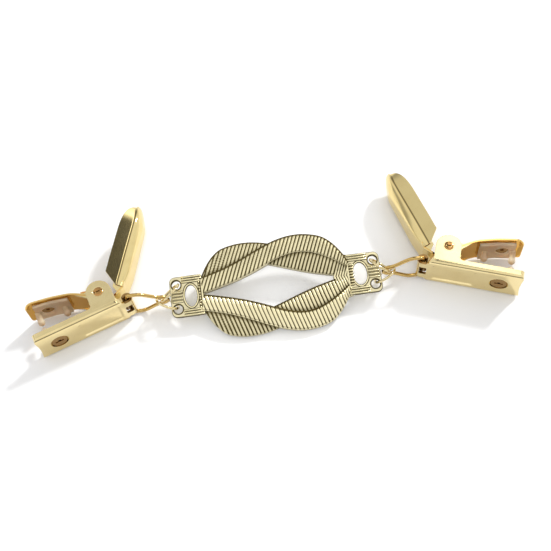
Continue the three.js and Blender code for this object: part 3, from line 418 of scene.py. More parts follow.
def patina_and_shade_metal(name, colour, dark):
    """Cast plating darkened by a value that the mesh carries at each point: patina left in its grooves, and
    painted shade on walls, edges, rims and back ribbons.
    """
    material, graph, shader = new_material(name)
    patches = graph.noise(500, 3.0)
    grain = graph.noise(5200)
    darkness = (graph.carried("patina_and_painted_shade") + (patches - 0.5) * 0.22).smooth(0.12, 0.82)
    graph.set_sockets(shader, {
        "Base Color": graph.mix(darkness, rgba(colour), rgba(dark)),
        "Metallic": 1.0 - darkness * 0.2,
        "Roughness": darkness * 0.3 + grain * 0.1 + 0.2,
        "Normal": graph.bump(grain, 0.15, 0.00008),
    })
    return material


def milky_plastic(name, colour):
    """Translucent plastic with cloudy patches and a moulded grain."""
    material, graph, shader = new_material(name)
    clouds = graph.noise(420, 3.0).smooth(0.35, 0.7)
    grain = graph.noise(3800)
    pale = tuple(min(1.0, c * 1.12) for c in colour)
    graph.set_sockets(shader, {
        "Base Color": graph.mix(clouds, rgba(colour), rgba(pale)),
        "Roughness": grain * 0.2 + 0.32,
        "Normal": graph.bump(grain, 0.2, 0.00006),
        "Transmission Weight": 0.8,
        "IOR": 1.45,
    })
    return material


def white_paper(name):
    """Matt white paper with a faint tooth."""
    material, graph, shader = new_material(name)
    tooth = graph.noise(900)
    graph.set_sockets(shader, {"Base Color": graph.mix(tooth, *(rgba(c) for c in PAPER)), "Roughness": 0.9})
    return material


def geometry_tree(name, **inputs):
    """A geometry tree with a geometry input and the named inputs: its graph and their values."""
    tree = bpy.data.node_groups.new(name, "GeometryNodeTree")
    tree.interface.new_socket("Geometry", in_out="INPUT", socket_type="NodeSocketGeometry")
    for label, kind in inputs.items():
        tree.interface.new_socket(label, in_out="INPUT", socket_type="NodeSocket" + kind)
    tree.interface.new_socket("Geometry", in_out="OUTPUT", socket_type="NodeSocketGeometry")
    graph = Graph(tree)
    source = graph.node("NodeGroupInput")
    values = {socket.name: Value(graph, socket) for socket in source.outputs if socket.name}
    return graph, values


def close_tree(graph, geometry, values):
    """Ends a geometry tree with plain, smooth, painted meshes, seated by Tilt and Place where it has them."""
    if "Place" in values:
        seat = {"Geometry": geometry, "Translation": values["Place"], "Rotation": values["Tilt"]}
        geometry = graph.add("GeometryNodeTransform", seat)
    real = graph.add("GeometryNodeRealizeInstances", {"Geometry": geometry})
    smooth = graph.add("GeometryNodeSetShadeSmooth", {"Geometry": real})
    painted = graph.add("GeometryNodeSetMaterial", {"Geometry": smooth, "Material": values["Material"]})
    graph.node("NodeGroupOutput", {"Geometry": painted})
    return graph.tree


def plain_mesh(bench, **options):
    """The mesh of an object with its modifiers applied; the object is then removed."""
    bpy.context.collection.objects.link(bench)
    bpy.context.view_layer.update()
    depsgraph = bpy.context.evaluated_depsgraph_get()
    mesh = bpy.data.meshes.new_from_object(bench.evaluated_get(depsgraph), depsgraph=depsgraph, **options)
    bench.modifiers.clear()
    bpy.data.objects.remove(bench)
    return mesh


def grow(mesh, tree, **values):
    """The mesh that a geometry tree makes from another mesh."""
    bench = bpy.data.objects.new("bench", mesh)
    modifier = bench.modifiers.new("tree", "NODES")
    modifier.node_group = tree
    for item in tree.interface.items_tree:
        if item.in_out == "INPUT" and item.name in values:
            modifier[item.identifier] = values[item.name]
    made = plain_mesh(bench, preserve_all_data_layers=True)
    bpy.data.meshes.remove(mesh)
    return made


def wire_tree():
    """A round wire along the edges of a mesh."""
    graph, values = geometry_tree("round_wire", Radius="Float", Sides="Int", Material="Material")
    path = graph.add("GeometryNodeMeshToCurve", {"Mesh": values["Geometry"]})
    circle = {"Resolution": values["Sides"], "Radius": values["Radius"]}
    section = graph.add("GeometryNodeCurvePrimitiveCircle", circle)
    tube = graph.add("GeometryNodeCurveToMesh", {"Curve": path, "Profile Curve": section, "Fill Caps": True})
    return close_tree(graph, tube, values)


def rib_tree():
    """Leaning ribs pressed into the face of a casting, which is then tilted into place."""
    graph, values = geometry_tree(
        "leaning_ribs", Pitch="Float", Depth="Float", Far="Float", Near="Float",
        Tilt="Vector", Place="Vector", Material="Material")
    spot = graph.node("ShaderNodeSeparateXYZ", {0: graph.add("GeometryNodeInputPosition")})
    u, v = Value(graph, spot.outputs[0]), Value(graph, spot.outputs[1])
    far = graph.math("GREATER_THAN", v, 0.0)
    lean = far * values["Far"] + (1.0 - far) * values["Near"]
    along = u - abs(v) * lean
    finer = graph.math("MAXIMUM", along - RIB_FINE_FROM * MM, 0.0) * RIB_FINE
    turn = graph.math("FRACT", (along + finer) / values["Pitch"])
    groove = abs(turn * 2.0 - 1.0).smooth(*GROOVE) * graph.stored("rib")
    # Patina in the grooves, added to the shade values, which hold painted shade on walls, edges and back
    # ribbons
    dark = graph.math("MINIMUM", groove + graph.stored("shade"), 1.0)
    stained = graph.store(values["Geometry"], "patina_and_painted_shade", dark)
    sink = graph.add("ShaderNodeCombineXYZ", {2: groove * values["Depth"] * -1.0})
    pressed = graph.add("GeometryNodeSetPosition", {"Geometry": stained, "Offset": sink})
    return close_tree(graph, pressed, values)


def ridge_tree():
    """A row of low rounded ridges, which is then tilted into place."""
    graph, values = geometry_tree(
        "ridge_row", Count="Int", Start="Vector", Step="Vector", Size="Vector",
        Tilt="Vector", Place="Vector", Material="Material")
    line = {"Count": values["Count"], "Start Location": values["Start"], "Offset": values["Step"]}
    row = graph.add("GeometryNodeMeshLine", line, mode="OFFSET")
    ridge = graph.add("GeometryNodeMeshUVSphere", {"Segments": 16, "Rings": 8, "Radius": 1.0})
    height = graph.node("ShaderNodeSeparateXYZ", {0: graph.add("GeometryNodeInputPosition")})
    # Darker towards the bottom of each ridge, pale on its top
    dark = 1.0 - Value(graph, height.outputs[2]).smooth(-0.1, 0.75)
    ridge = graph.store(ridge, "patina_and_painted_shade", dark)
    copies = {"Points": row, "Instance": ridge, "Scale": values["Size"]}
    return close_tree(graph, graph.add("GeometryNodeInstanceOnPoints", copies), values)


# Shapes

def lerp(a, b, t):
    return a + (b - a) * t


def clamp(x, low=0.0, high=1.0):
    return min(max(x, low), high)


def ease(x, low, high):
    t = clamp((x - low) / (high - low))
    return t * t * (3 - 2 * t)


def polar(radius, degrees):
    return radius * math.cos(math.radians(degrees)), radius * math.sin(math.radians(degrees))


def joint_place(name):
    return Vector(JOINTS[name]["pos_m"])


def ornament_place():
    at = joint_place("right_ring_far_swing")
    return Vector((0, at.y, at.z))


def lug_face():
    """From the plane of the lugs' faces, in metres, to the frame."""
    turn = Matrix.Rotation(TILT, 4, "X")
    return Matrix.Translation(ornament_place()) @ turn @ Matrix.Translation((0, 0, LUG_THICK / 2 * MM))


def clip_matrix(hand, side):
    """From a clip's own millimetres to the frame."""
    turn = Matrix.Rotation(0 if side > 0 else math.pi, 4, "Y")
    turn = turn @ Matrix.Rotation(-math.radians(CLIP_SWING), 4, "Z")
    return Matrix.Translation(joint_place(f"{hand}_clip_swing")) @ turn @ Matrix.Scale(MM, 4)


def give_values(mesh, name, values):
    """Stores one number at each point of a mesh."""
    mesh.attributes.new(name, "FLOAT", "POINT").data.foreach_set("value", values)


def add_piece(name, mesh, body, slot, *nodes):
    """A finished mesh as a piece that rides on a body and stands for CAD nodes."""
    mesh.name = name
    piece = bpy.data.objects.new(name, mesh)
    bpy.context.collection.objects.link(piece)
    if body:
        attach(piece, body)
    if nodes:
        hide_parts(*nodes)
    return piece


def path_mesh(points, closed):
    """A line of points as the edges of a mesh."""
    mesh = bpy.data.meshes.new("path")
    count = len(points)
    edges = [(i, (i + 1) % count) for i in range(count if closed else count - 1)]
    mesh.from_pydata([tuple(p) for p in points], edges, [])
    return mesh


def round_wire(points, closed, diameter, sides, material):
    """A round wire along a line of points, as a mesh."""
    tree = bpy.data.node_groups.get("round_wire") or wire_tree()
    path = path_mesh(points, closed)
    mesh = grow(path, tree, Radius=diameter / 2, Sides=sides, Material=material)
    mesh.set_sharp_from_angle(angle=math.radians(WIRE_SHARP))
    return mesh


class Shell:
    """Closed lofted bodies in the ornament's own millimetres, with rib and shade values at each point."""

    def __init__(self):
        self.points, self.faces, self.rib, self.shade = [], [], [], []

    def loft(self, stations):
        """Stations are loops of (u, v, n, rib, shade), top first."""
        first = len(self.points)
        loop = len(stations[0])
        for station in stations:
            for u, v, n, rib, shade in station:
                self.points.append((u * MM, v * MM, n * MM))
                self.rib.append(rib)
                self.shade.append(shade)
        for i in range(len(stations) - 1):
            for k in range(loop):
                a, b = first + i * loop + k, first + i * loop + (k + 1) % loop
                self.faces.append((a, b, b + loop, a + loop))
        last = first + (len(stations) - 1) * loop
        self.faces.append(tuple(range(first, first + loop)))
        self.faces.append(tuple(range(last, last + loop)))

    def mesh(self, name):
        mesh = bpy.data.meshes.new(name)
        mesh.from_pydata(self.points, [], self.faces)
        body = bmesh.new()
        body.from_mesh(mesh)
        bmesh.ops.recalc_face_normals(body, faces=body.faces)
        body.to_mesh(mesh)
        body.free()
        give_values(mesh, "rib", self.rib)
        give_values(mesh, "shade", self.shade)
        return mesh


def strand(over):
    """Width and middle of a ribbon along the ornament; over is 1 for the front ribbon, -1 for the back one."""
    lap = 0 if over > 0 else RIBBON_LAP
    full = RIBBON_WIDTH + lap
    sway = over * (STRAND_SWAY - lap / 2)

    def opened(u):
        return TIP_OPEN * ease(-u, *TIP_RUN) if over > 0 else 0

    def width(u):
        taper = clamp((abs(u) - SPAN) / RIBBON_TAPER + 1)
        outer = over * (u - CROSSING) > 0
        return lerp(full, RIBBON_END, taper ** 1.5 if outer else 0) - TIP_NARROW * opened(u)

    def middle(u):
        fall = STRAND_FALL * (u / SPAN) ** 2 + (full - width(u)) / 2
        return STRAND_MID - fall + opened(u) + sway * math.sin(math.pi * (u - CROSSING) / STRAND_WAVE)

    return width, middle


def ribbon(shell, over, row, steps=330, across=20):
    """A ribbon along the far row or the near one, in front of its partner or behind it at the crossing."""
    width_at, middle_at = strand(over)
    front_width, front_middle = strand(1)
    end, crest = (OVER_END, OVER_CROWN) if over > 0 else (UNDER_END, UNDER_CROWN)
    stations = []
    for i in range(steps + 1):
        u = lerp(-SPAN, SPAN, i / steps)
        width, v = width_at(u), middle_at(u)
        slope = (middle_at(u + SLOPE_STEP) - middle_at(u - SLOPE_STEP)) / (2 * SLOPE_STEP)
        length = math.hypot(1, slope)
        swing = clamp(math.pi * (u - CROSSING) / STRAND_WAVE, -math.pi / 2, math.pi / 2)
        crown = lerp(end, crest, math.cos(swing) ** 2)
        station = []
        for k in range(across + 1):
            t = math.sin(math.pi * (k / across - 0.5))
            x, y = u - slope / length * t * width / 2, v + t * width / (2 * length)
            inset = (1 - abs(t)) * width / 2
            roll = EDGE_ROLL * (1 - ease(inset, 0.0, EDGE_ROLL))
            # Patina along both edges, much darker along the edges that face away, where it is painted shade
            shade = (EDGE_SHADE if row * t > 0 else FACING_SHADE) * (1 - ease(inset, *EDGE_SHADE_RUN))
            # Painted shade over the whole far row; on the back ribbons painted shade all along, more on one
            # half of each row and most beside the front ribbon's edge, where they pass under it
            painted_shade = FAR_PAINTED_SHADE if row > 0 else 0.0
            if over < 0:
                away = abs(y - front_middle(x)) - front_width(x) / 2
                painted_shade = (LEE_PAINTED_SHADE if row * u > 0 else BACK_PAINTED_SHADE) + LAP_PAINTED_SHADE * (1 - ease(away, 0.0, LAP_RUN))
            slant = ROW_SLOPE * clamp(y - STRAND_MID, -ROW_REACH, ROW_REACH)
            top = crown - EDGE_DROP * t * t - roll - slant
            station.append((x, row * y, top, ease(inset, 0.0, RIB_MARGIN), max(shade, painted_shade)))
        # The side walls carry painted shade
        for t in (1, -1):
            x, y = u - slope / length * t * width / 2, v + t * width / (2 * length)
            station.append((x, row * y, BACK, 0, WALL_SHADE))
        stations.append(station)
    shell.loft(stations)


def collar(shell, side, steps=60, across=24):
    """Pointed collar where the ribbons meet a lug."""
    point, end = SPAN - COLLAR_POINT[side], SPAN + COLLAR_LAP
    knee, knee_half = lerp(point, SPAN, 0.5), COLLAR_KNEE * COLLAR_HALF
    stations = []
    for i in range(steps + 1):
        u = lerp(point + COLLAR_TIP, end, i / steps)
        if u < knee:
            half = lerp(0, knee_half, (u - point) / (knee - point))
        else:
            half = lerp(knee_half, COLLAR_HALF, clamp((u - knee) / (SPAN - knee)))
        ribbed = 1 - ease(u, end - COLLAR_PLAIN[0], end - COLLAR_PLAIN[1])
        station = []
        for k in range(across + 1):
            station.append((side * u, half * lerp(-1, 1, k / across), COLLAR_TOP, ribbed, COLLAR_SHADE))
        # The walls carry painted shade
        station += [(side * u, v, BACK, 0, WALL_SHADE) for v in (half, -half)]
        stations.append(station)
    shell.loft(stations)


def rail(shell, side, row, across=30):
    """Raised rail beside a window, with lengthwise ridges."""
    inner = LUG_HALF - RAIL_WIDTH
    stations = []
    for u in (LUG_ROOT, LUG_ROOT + RAIL_RAMP, RAIL_END - RAIL_RAMP, RAIL_END):
        low = RAIL_DROP if u in (LUG_ROOT, RAIL_END) else 0
        station = []
        for k in range(across + 1):
            t = k / across
            ridge = abs(math.sin(RAIL_RIDGES * math.pi * t))
            top = RAIL_TOP - RAIL_GROOVE * (1 - ridge) - low
            shade = RAIL_SHADE * (1 - ease(ridge, *RAIL_SHADE_RUN))
            station.append((side * u, row * lerp(inner, LUG_HALF, t), top, 0, shade))
        # The walls carry painted shade; the dark between the ridges above is patina in the grooves
        station += [(side * u, row * v, 0, 0, RAIL_WALL_SHADE) for v in (LUG_HALF, inner)]
        stations.append(station)
    shell.loft(stations)


def ellipse(cu, cv, ru, rv, count=48):
    turns = [2 * math.pi * i / count for i in range(count)]
    return [(cu + ru * math.cos(turn), cv + rv * math.sin(turn)) for turn in turns]


def rounded_outline(u0, u1, half, corner, count=8):
    """A rectangle about v = 0 with rounded corners."""
    low, high, reach = u0 + corner, u1 - corner, half - corner
    points = []
    for cu, cv, start in ((high, reach, 0), (low, reach, 90), (low, -reach, 180), (high, -reach, 270)):
        for i in range(count + 1):
            x, y = polar(corner, start + 90 * i / count)
            points.append((cu + x, cv + y))
    return points


def plate(loops, thickness, edge):
    """A flat plate with holes and rounded edges, in millimetres about n = 0, as a mesh in metres."""
    curve = bpy.data.curves.new("plate", "CURVE")
    curve.dimensions, curve.fill_mode = "2D", "BOTH"
    curve.extrude, curve.offset = thickness / 2 - edge, -edge
    curve.bevel_depth, curve.bevel_resolution = edge, 2
    for loop in loops:
        spline = curve.splines.new("POLY")
        spline.points.add(len(loop) - 1)
        for point, (x, y) in zip(spline.points, loop):
            point.co = (x, y, 0, 1)
        spline.use_cyclic_u = True
    mesh = plain_mesh(bpy.data.objects.new("bench", curve))
    bpy.data.curves.remove(curve)
    body = bmesh.new()
    body.from_mesh(mesh)
    bmesh.ops.remove_doubles(body, verts=body.verts, dist=MERGE)
    bmesh.ops.recalc_face_normals(body, faces=body.faces)
    body.to_mesh(mesh)
    body.free()
    mesh.transform(Matrix.Scale(MM, 4))
    return mesh


def lug_plate(side):
    """A lug with its window and ring holes, with painted shade on its edges."""
    outline = rounded_outline(*sorted((side * LUG_ROOT, side * LUG_END)), LUG_HALF, LUG_CORNER)
    window = ellipse(side * WINDOW_U, 0, *WINDOWS[side])
    holes = [ellipse(side * HOLE_U, row * LUG_HOLE_V, HOLE_RADIUS, HOLE_RADIUS, 32) for row in ROWS]
    mesh = plate([outline, window, *holes], LUG_THICK, LUG_EDGE)
    face = 0.98 * LUG_THICK / 2 * MM
    # Painted shade on the edges and walls, a darker tone on the faces
    shade = [LUG_FACE_SHADE if abs(p.co.z) > face else LUG_EDGE_SHADE for p in mesh.vertices]
    give_values(mesh, "rib", [0.0] * len(shade))
    give_values(mesh, "shade", shade)
    return mesh


def lug_rims(side, metal):
    """A low rim round a lug's window, and dark loops round the window and round its holes, as painted shade.
    """
    body = bmesh.new()
    dark = body.verts.layers.float.new("patina_and_painted_shade")
    openings = [(WINDOW_RIM, WINDOW_U, 0, *WINDOWS[side])]
    openings += [(HOLE_RIM, HOLE_U, row * LUG_HOLE_V, HOLE_RADIUS, HOLE_RADIUS) for row in ROWS]
    for rims, u, v, ru, rv in openings:
        for away, radius, darkness in rims:
            loop = ellipse(side * u, v, ru + away, rv + away)
            points = [Vector((*spot, -RIM_SINK * radius)) * MM for spot in loop]
            done = len(body.verts)
            body.from_mesh(round_wire(points, True, 2 * radius * MM, 12, metal))
            body.verts.ensure_lookup_table()
            for vertex in body.verts[done:]:
                # The dark loops are painted shade round the openings
                vertex[dark] = darkness
    mesh = bpy.data.meshes.new("rims")
    body.to_mesh(mesh)
    body.free()
    mesh.transform(lug_face() @ Matrix.Diagonal((1, 1, RIM_FLAT, 1)))
    mesh.materials.append(metal)
    mesh.shade_smooth()
    return mesh


def fillet(points, setbacks, count):
    """A line in x and y with its inner corners rounded, each from its setback on."""
    points = [Vector(p) for p in points]
    line = [points[0]]
    for before, corner, after, setback in zip(points, points[1:], points[2:], setbacks):
        legs = [end - corner for end in (before, after)]
        a, b = (corner + leg.normalized() * min(setback, leg.length * 0.45) for leg in legs)
        for i in range(count + 1):
            t = i / count
            line.append(a * (1 - t) ** 2 + corner * 2 * t * (1 - t) + b * t * t)
    return line + [points[-1]]


def offset(line, distance):
    """A line in x and y moved to its left."""
    moved = []
    for i, point in enumerate(line):
        a = (point - line[i - 1]).normalized() if i else None
        b = (line[i + 1] - point).normalized() if i + 1 < len(line) else None
        a, b = a or b, b or a
        normal = Vector((-a.y - b.y, a.x + b.x)).normalized()
        moved.append(point + normal * distance / max(normal.dot(Vector((-a.y, a.x))), 0.3))
    return moved


class Sheet:
    """Closed sheet metal bodies in a clip's own millimetres."""

    def __init__(self):
        self.body = bmesh.new()
        # Layers of painted shade: on faces turned inward, and on folds
        self.inward_painted_shade = self.body.verts.layers.float.new("inward_painted_shade")
        self.fold_and_bore_shade = self.body.verts.layers.float.new("fold_and_bore_shade")

    def rings(self, stations):
        return [[self.body.verts.new(p) for p in station] for station in stations]

    def skin(self, rings):
        """Faces from each ring of points to the next."""
        for a, b in zip(rings, rings[1:]):
            for k in range(len(a)):
                j = (k + 1) % len(a)
                self.body.faces.new((a[k], a[j], b[j], b[k]))

    def loft(self, stations, inner=(), creases=(), folded=False):
        """A closed body through loops of points, whose last loop closes on itself if it is folded.

        The points numbered in inner look inward, and those in creases are on sharp folds; both get painted
        shade, which on the folds fades along the body.
        """
        rings = self.rings(stations)
        for i, ring in enumerate(rings):
            for k in inner:
                ring[k][self.inward_painted_shade] = 1.0
            for k in creases:
                ring[k][self.fold_and_bore_shade] = 1 - ease(i / len(rings), *CREASE_FADE)
        self.skin(rings)
        self.body.faces.new(rings[0])
        if folded:
            bmesh.ops.remove_doubles(self.body, verts=rings[-1], dist=MERGE)
        else:
            self.body.faces.new(rings[-1])

    def hoop(self, stations):
        """A closed body through loops of points, the last of which meets the first."""
        rings = self.rings(stations)
        self.skin(rings + rings[:1])

    def strip(self, line, half, thickness, corner=0.0):
        """A strip along a line, with a half width for each point and rounded corners at its end."""
        left, right = offset(line, thickness / 2), offset(line, -thickness / 2)
        length = sum((b - a).length for a, b in zip(line, line[1:]))
        run, stations = 0.0, []
        for i in range(len(line)):
            run += (line[i] - line[i - 1]).length if i else 0.0
            short = clamp(corner - (length - run), 0.0, corner)
            z = half[i] - corner + math.sqrt(max(corner ** 2 - short ** 2, 0.0))
            stations.append([(*left[i], -z), (*left[i], z), (*right[i], z), (*right[i], -z)])
        # The side that looks inward gets painted shade
        self.loft(stations, (2, 3))

    def slab(self, outline, low, high):
        """An outline in x and y between two heights."""
        self.loft([[(*p, z) for p in outline] for z in (low, high)])

    def tube(self, centre, radius, bore, low, high, count=32):
        """A tube about a point in x and y between two heights."""
        stations = []
        for r, z in ((radius, low), (radius, high), (bore, high), (bore, low)):
            circle = [polar(r, 360 * i / count) for i in range(count)]
            stations.append([(centre[0] + x, centre[1] + y, z) for x, y in circle])
        self.hoop(stations)

    def mesh(self, name, matrix, material):
        bmesh.ops.recalc_face_normals(self.body, faces=self.body.faces)
        mesh = bpy.data.meshes.new(name)
        self.body.to_mesh(mesh)
        self.body.free()
        mesh.transform(matrix)
        mesh.materials.append(material)
        mesh.shade_smooth()
        mesh.set_sharp_from_angle(angle=math.radians(SHEET_SHARP))
        return mesh


def lever_section(t):
    """Half of the lever's section at a share of its length, from flange to outer face: across and outward."""
    width = lerp(LEVER_WAIST, 1, min(t / LEVER_WAIST_RUN, 1))
    rise = min(LEVER_RISE[0] + LEVER_RISE[1] * t, 1)
    fall = clamp((t - LEVER_FALL[0]) / (LEVER_FALL[1] - LEVER_FALL[0]))
    share = max(rise * math.sqrt(1 - fall ** 2), LEVER_LEAST)
    depth = lerp(*LEVER_DEPTH, ease(t, *LEVER_DEPTH_RUN)) * (1 - LEVER_THIN * ease(t, *LEVER_THIN_RUN))
    return [
        (lerp(LEVER_FOLD, LEVER_HALF, share) * width, LEVER_FLANGE * share),
        (LEVER_FOLD * width, 0),
        (LEVER_FOLD * width - LEVER_SHOULDER[0], -LEVER_SHOULDER[1] * depth),
        (lerp(*LEVER_CREASE, t) * width, -depth),
    ]


def lever_stations(steps=24):
    """Loops of points along the thumb lever: a channel whose sides run round its nose, which bends over."""
    along, toward = Vector(polar(1, LEVER_ANGLE)), Vector(polar(1, LEVER_ANGLE - 90))
    straight = LEVER_LENGTH - LEVER_NOSE
    places = [(straight * i / steps, 0) for i in range(steps)]
    places += [(straight, 90 * i / steps) for i in range(steps + 1)]
    stations = []
    for start, angle in places:
        turn_in, turn_on = polar(1, angle)
        t = (start + LEVER_NOSE * turn_on) / LEVER_LENGTH
        half = lever_section(t)
        soft = lerp(*LEVER_SOFT, ease(t, *LEVER_SOFT_RUN))
        line = fillet([(-x, y) for x, y in half] + half[::-1], (soft, *[LEVER_BEND] * 4, soft), 6)
        loop = []
        for across, out in line + offset(line, ARM_SHEET)[::-1]:
            reach = start + LEVER_NOSE * turn_on * abs(across) / LEVER_HALF
            curl = LEVER_CURL * clamp((reach / LEVER_LENGTH - LEVER_CURL_RUN[0]) / LEVER_CURL_RUN[1]) ** 2
            spot = Vector(LEVER_BASE) + along * reach + toward * (out + curl)
            loop.append((spot.x, spot.y, across * turn_in))
        stations.append(loop)
    return stations


def jaw_strip(sheet):
    """The strip over the pad, with its lip and rounded corners."""
    end = Vector(JAW_LINE[3]) + Vector(polar(LIP_LENGTH, LIP_ANGLE))
    line = fillet([*JAW_LINE, end], (JAW_BEND,) * 3, 8)
    tail = line[-2]
    line = line[:-1] + [tail.lerp(end, math.sin(math.pi / 2 * i / 8)) for i in range(1, 9)]
    sheet.strip(line, [JAW_HALF] * len(line), ARM_SHEET, JAW_CORNER)


def cradle_neck(sheet):
    """The neck from the jaw round the spring to the lever's foot."""
    root, bend, pivot = Vector(JAW_LINE[0]), Vector(JAW_LINE[1]), Vector(PIVOT)
    start = math.degrees(math.atan2(root.y - pivot.y, root.x - pivot.x))
    line = [root.lerp(bend, 0.5), root]
    line += [Vector(polar(CRADLE_RADIUS, lerp(start, CRADLE_END, i / 40))) + pivot for i in range(2, 41)]
    foot = Vector(LEVER_BASE) + Vector(polar(ARM_SHEET / 2 - LEVER_DEPTH[0], LEVER_ANGLE - 90))
    line += [foot, foot + Vector(polar(LEVER_FOOT, LEVER_ANGLE))]
    widths = [NECK_HALF] * (len(line) - 3) + [lerp(NECK_HALF, FOOT_HALF, i / 2) for i in range(3)]
    sheet.strip(line, widths, NECK_SHEET)


def cheeks_and_bosses(sheet):
    """Cheeks beside the spring, with the hollow bosses that turn in the ears."""
    turns = [lerp(CHEEK_LEAN, 360 - CHEEK_LEAN, i / 30) for i in range(31)]
    outline = [Vector(polar(CHEEK_RADIUS, turn)) + Vector(PIVOT) for turn in turns]
    (x0, y0), (x1, y1) = JAW_LINE[:2]
    outline += [Vector((lerp(x0, x1, along), lerp(y0, y1, up))) for along, up in CHEEK_TIPS]
    outer, root = CHEEK_INNER + CHEEK_SHEET, CHEEK_INNER + BOSS_ROOT
    for low, high in ((CHEEK_INNER, outer), (-outer, -CHEEK_INNER)):
        sheet.slab(outline, low, high)
    for low, high in ((root, HALF_WIDTH), (-HALF_WIDTH, -root)):
        sheet.tube(PIVOT, BOSS_RADIUS, BOSS_BORE, low, high)


def arm_sheet():
    """Jaw strip with its lip, cradle round the spring, cheeks, pivot bosses and lever."""
    sheet = Sheet()
    jaw_strip(sheet)
    cradle_neck(sheet)
    cheeks_and_bosses(sheet)
    sheet.loft(lever_stations(), creases=LEVER_CREASES, folded=True)
    return sheet


def ears(count=72):
    """Flat ears with a round top and a hole for the pivot."""
    sheet = Sheet()
    outer, inner = [], []
    for i in range(count):
        x, y = polar(1, 360 * i / count)
        reach = EAR_RADIUS if y >= 0 else min(EAR_RADIUS / max(abs(x), 1e-6), EAR_FOOT / -y)
        outer.append((PIVOT[0] + x * reach, PIVOT[1] + y * reach))
        inner.append((PIVOT[0] + x * EAR_HOLE, PIVOT[1] + y * EAR_HOLE))
    for sign in (1, -1):
        high, low = sign * (HALF_WIDTH + EAR_PROUD), sign * (HALF_WIDTH + EAR_PROUD - EAR_SHEET)
        loops = ((outer, low), (outer, high), (inner, high), (inner, low))
        sheet.hoop([[(*p, z) for p in line] for line, z in loops])
    return sheet


def pivot_ends():
    """Slotted ends of the hollow pivot, in both ears."""
    sheet = Sheet()
    gap = math.degrees(math.asin(PIVOT_SLOT / PIVOT_END))
    for sign in (1, -1):
        for start, level, limit in ((0, PIVOT_SLOT, max), (180, -PIVOT_SLOT, min)):
            turns = [start + lerp(gap, 180 - gap, i / 16) for i in range(17)]
            stations = []
            for share, height in PIVOT_PROFILE:
                half = [polar(PIVOT_END * share, turn) for turn in turns]
                z = sign * (HALF_WIDTH + height)
                stations.append([(PIVOT[0] + x, PIVOT[1] + limit(y, level), z) for x, y in half])
            sheet.loft(stations)
    return sheet


def slope_panel(mesh, matrix):
    """Sinks the face of the pressed panel and draws it in, so that its sides slope."""
    back = matrix.inverted()
    low, high, half = PANEL
    middle, reach = (low + high) / 2, (high - low) / 2
    for vertex in mesh.vertices:
        p = back @ vertex.co
        inside = low - 2 * NEAR < p.x < high + 2 * NEAR and abs(p.z) < half + 2 * NEAR
        if inside and p.y < PANEL_TOP + NEAR:
            p.x = middle + (p.x - middle) * (reach - PANEL_SLOPE) / reach
            p.z *= (half - PANEL_SLOPE) / half
            p.y = 2 * WEB_FACE - p.y
            vertex.co = matrix @ p


def widen_relief(mesh, matrix):
    """Makes the square relief hole in the knuckle taller and a little longer."""
    back = matrix.inverted()
    for vertex in mesh.vertices:
        p = back @ vertex.co
        if abs(p.z) < RELIEF[0] + NEAR and p.x < RELIEF[1] + NEAR:
            p.z *= RELIEF_TALL
            if p.x > RELIEF[1] - NEAR:
                p.x += RELIEF_LONG
            vertex.co = matrix @ p


def shade_bore(mesh, matrix, material):
    """Gives the faces inside the knuckle a dark material of their own, as painted shade in the bore."""
    mesh.materials.append(material)
    back = matrix.inverted()
    for face in mesh.polygons:
        spot = back @ face.center
        in_relief = abs(spot.z) < RELIEF[0] * RELIEF_TALL + NEAR
        if math.hypot(spot.x, spot.y) < (RELIEF_BORE if in_relief else KNUCKLE_BORE):
            face.material_index = 1


def finished_copy(node, material, smooth):
    """A copy of a CAD node's shape with its flat faces whole and its curves smooth."""
    body = bmesh.new()
    body.from_mesh(frame["nodes"][node].data)
    bmesh.ops.remove_doubles(body, verts=body.verts, dist=WELD)
    bmesh.ops.dissolve_limit(body, angle_limit=math.radians(1), verts=body.verts, edges=body.edges)
    mesh = bpy.data.meshes.new(node)
    index = {v: i for i, v in enumerate(body.verts)}
    faces = [[index[v] for v in face.verts] for face in body.faces]
    mesh.from_pydata([v.co[:] for v in body.verts], [], faces)
    body.free()
    mesh.materials.append(material)
    mesh.shade_smooth()
    mesh.set_sharp_from_angle(angle=math.radians(smooth))
    return mesh


def soften(piece, edge, angle):
    """Small rounded edges on a piece."""
    bevel = piece.modifiers.new("edges", "BEVEL")
    bevel.width, bevel.segments, bevel.limit_method = edge, 2, "ANGLE"
    bevel.angle_limit = math.radians(angle)
    bevel.use_clamp_overlap = True
    weight = piece.modifiers.new("faces", "WEIGHTED_NORMAL")
    weight.keep_sharp = True


def finish_fittings(node, word, slot, material, edge, smooth):
    """Finishes the upper fitting on each jaw and the lower one on each clip body."""
    for hand, _ in HANDS:
        for which, body in (("upper", "jaw"), ("lower", "clip")):
            mesh = finished_copy(f"{hand}_{which}_{node}", material, smooth)
            name = f"{hand}_{which}_{word}"
            piece = add_piece(name, mesh, f"{hand}_{body}", slot, f"{hand}_{which}_{node}")
            soften(piece, edge, smooth)


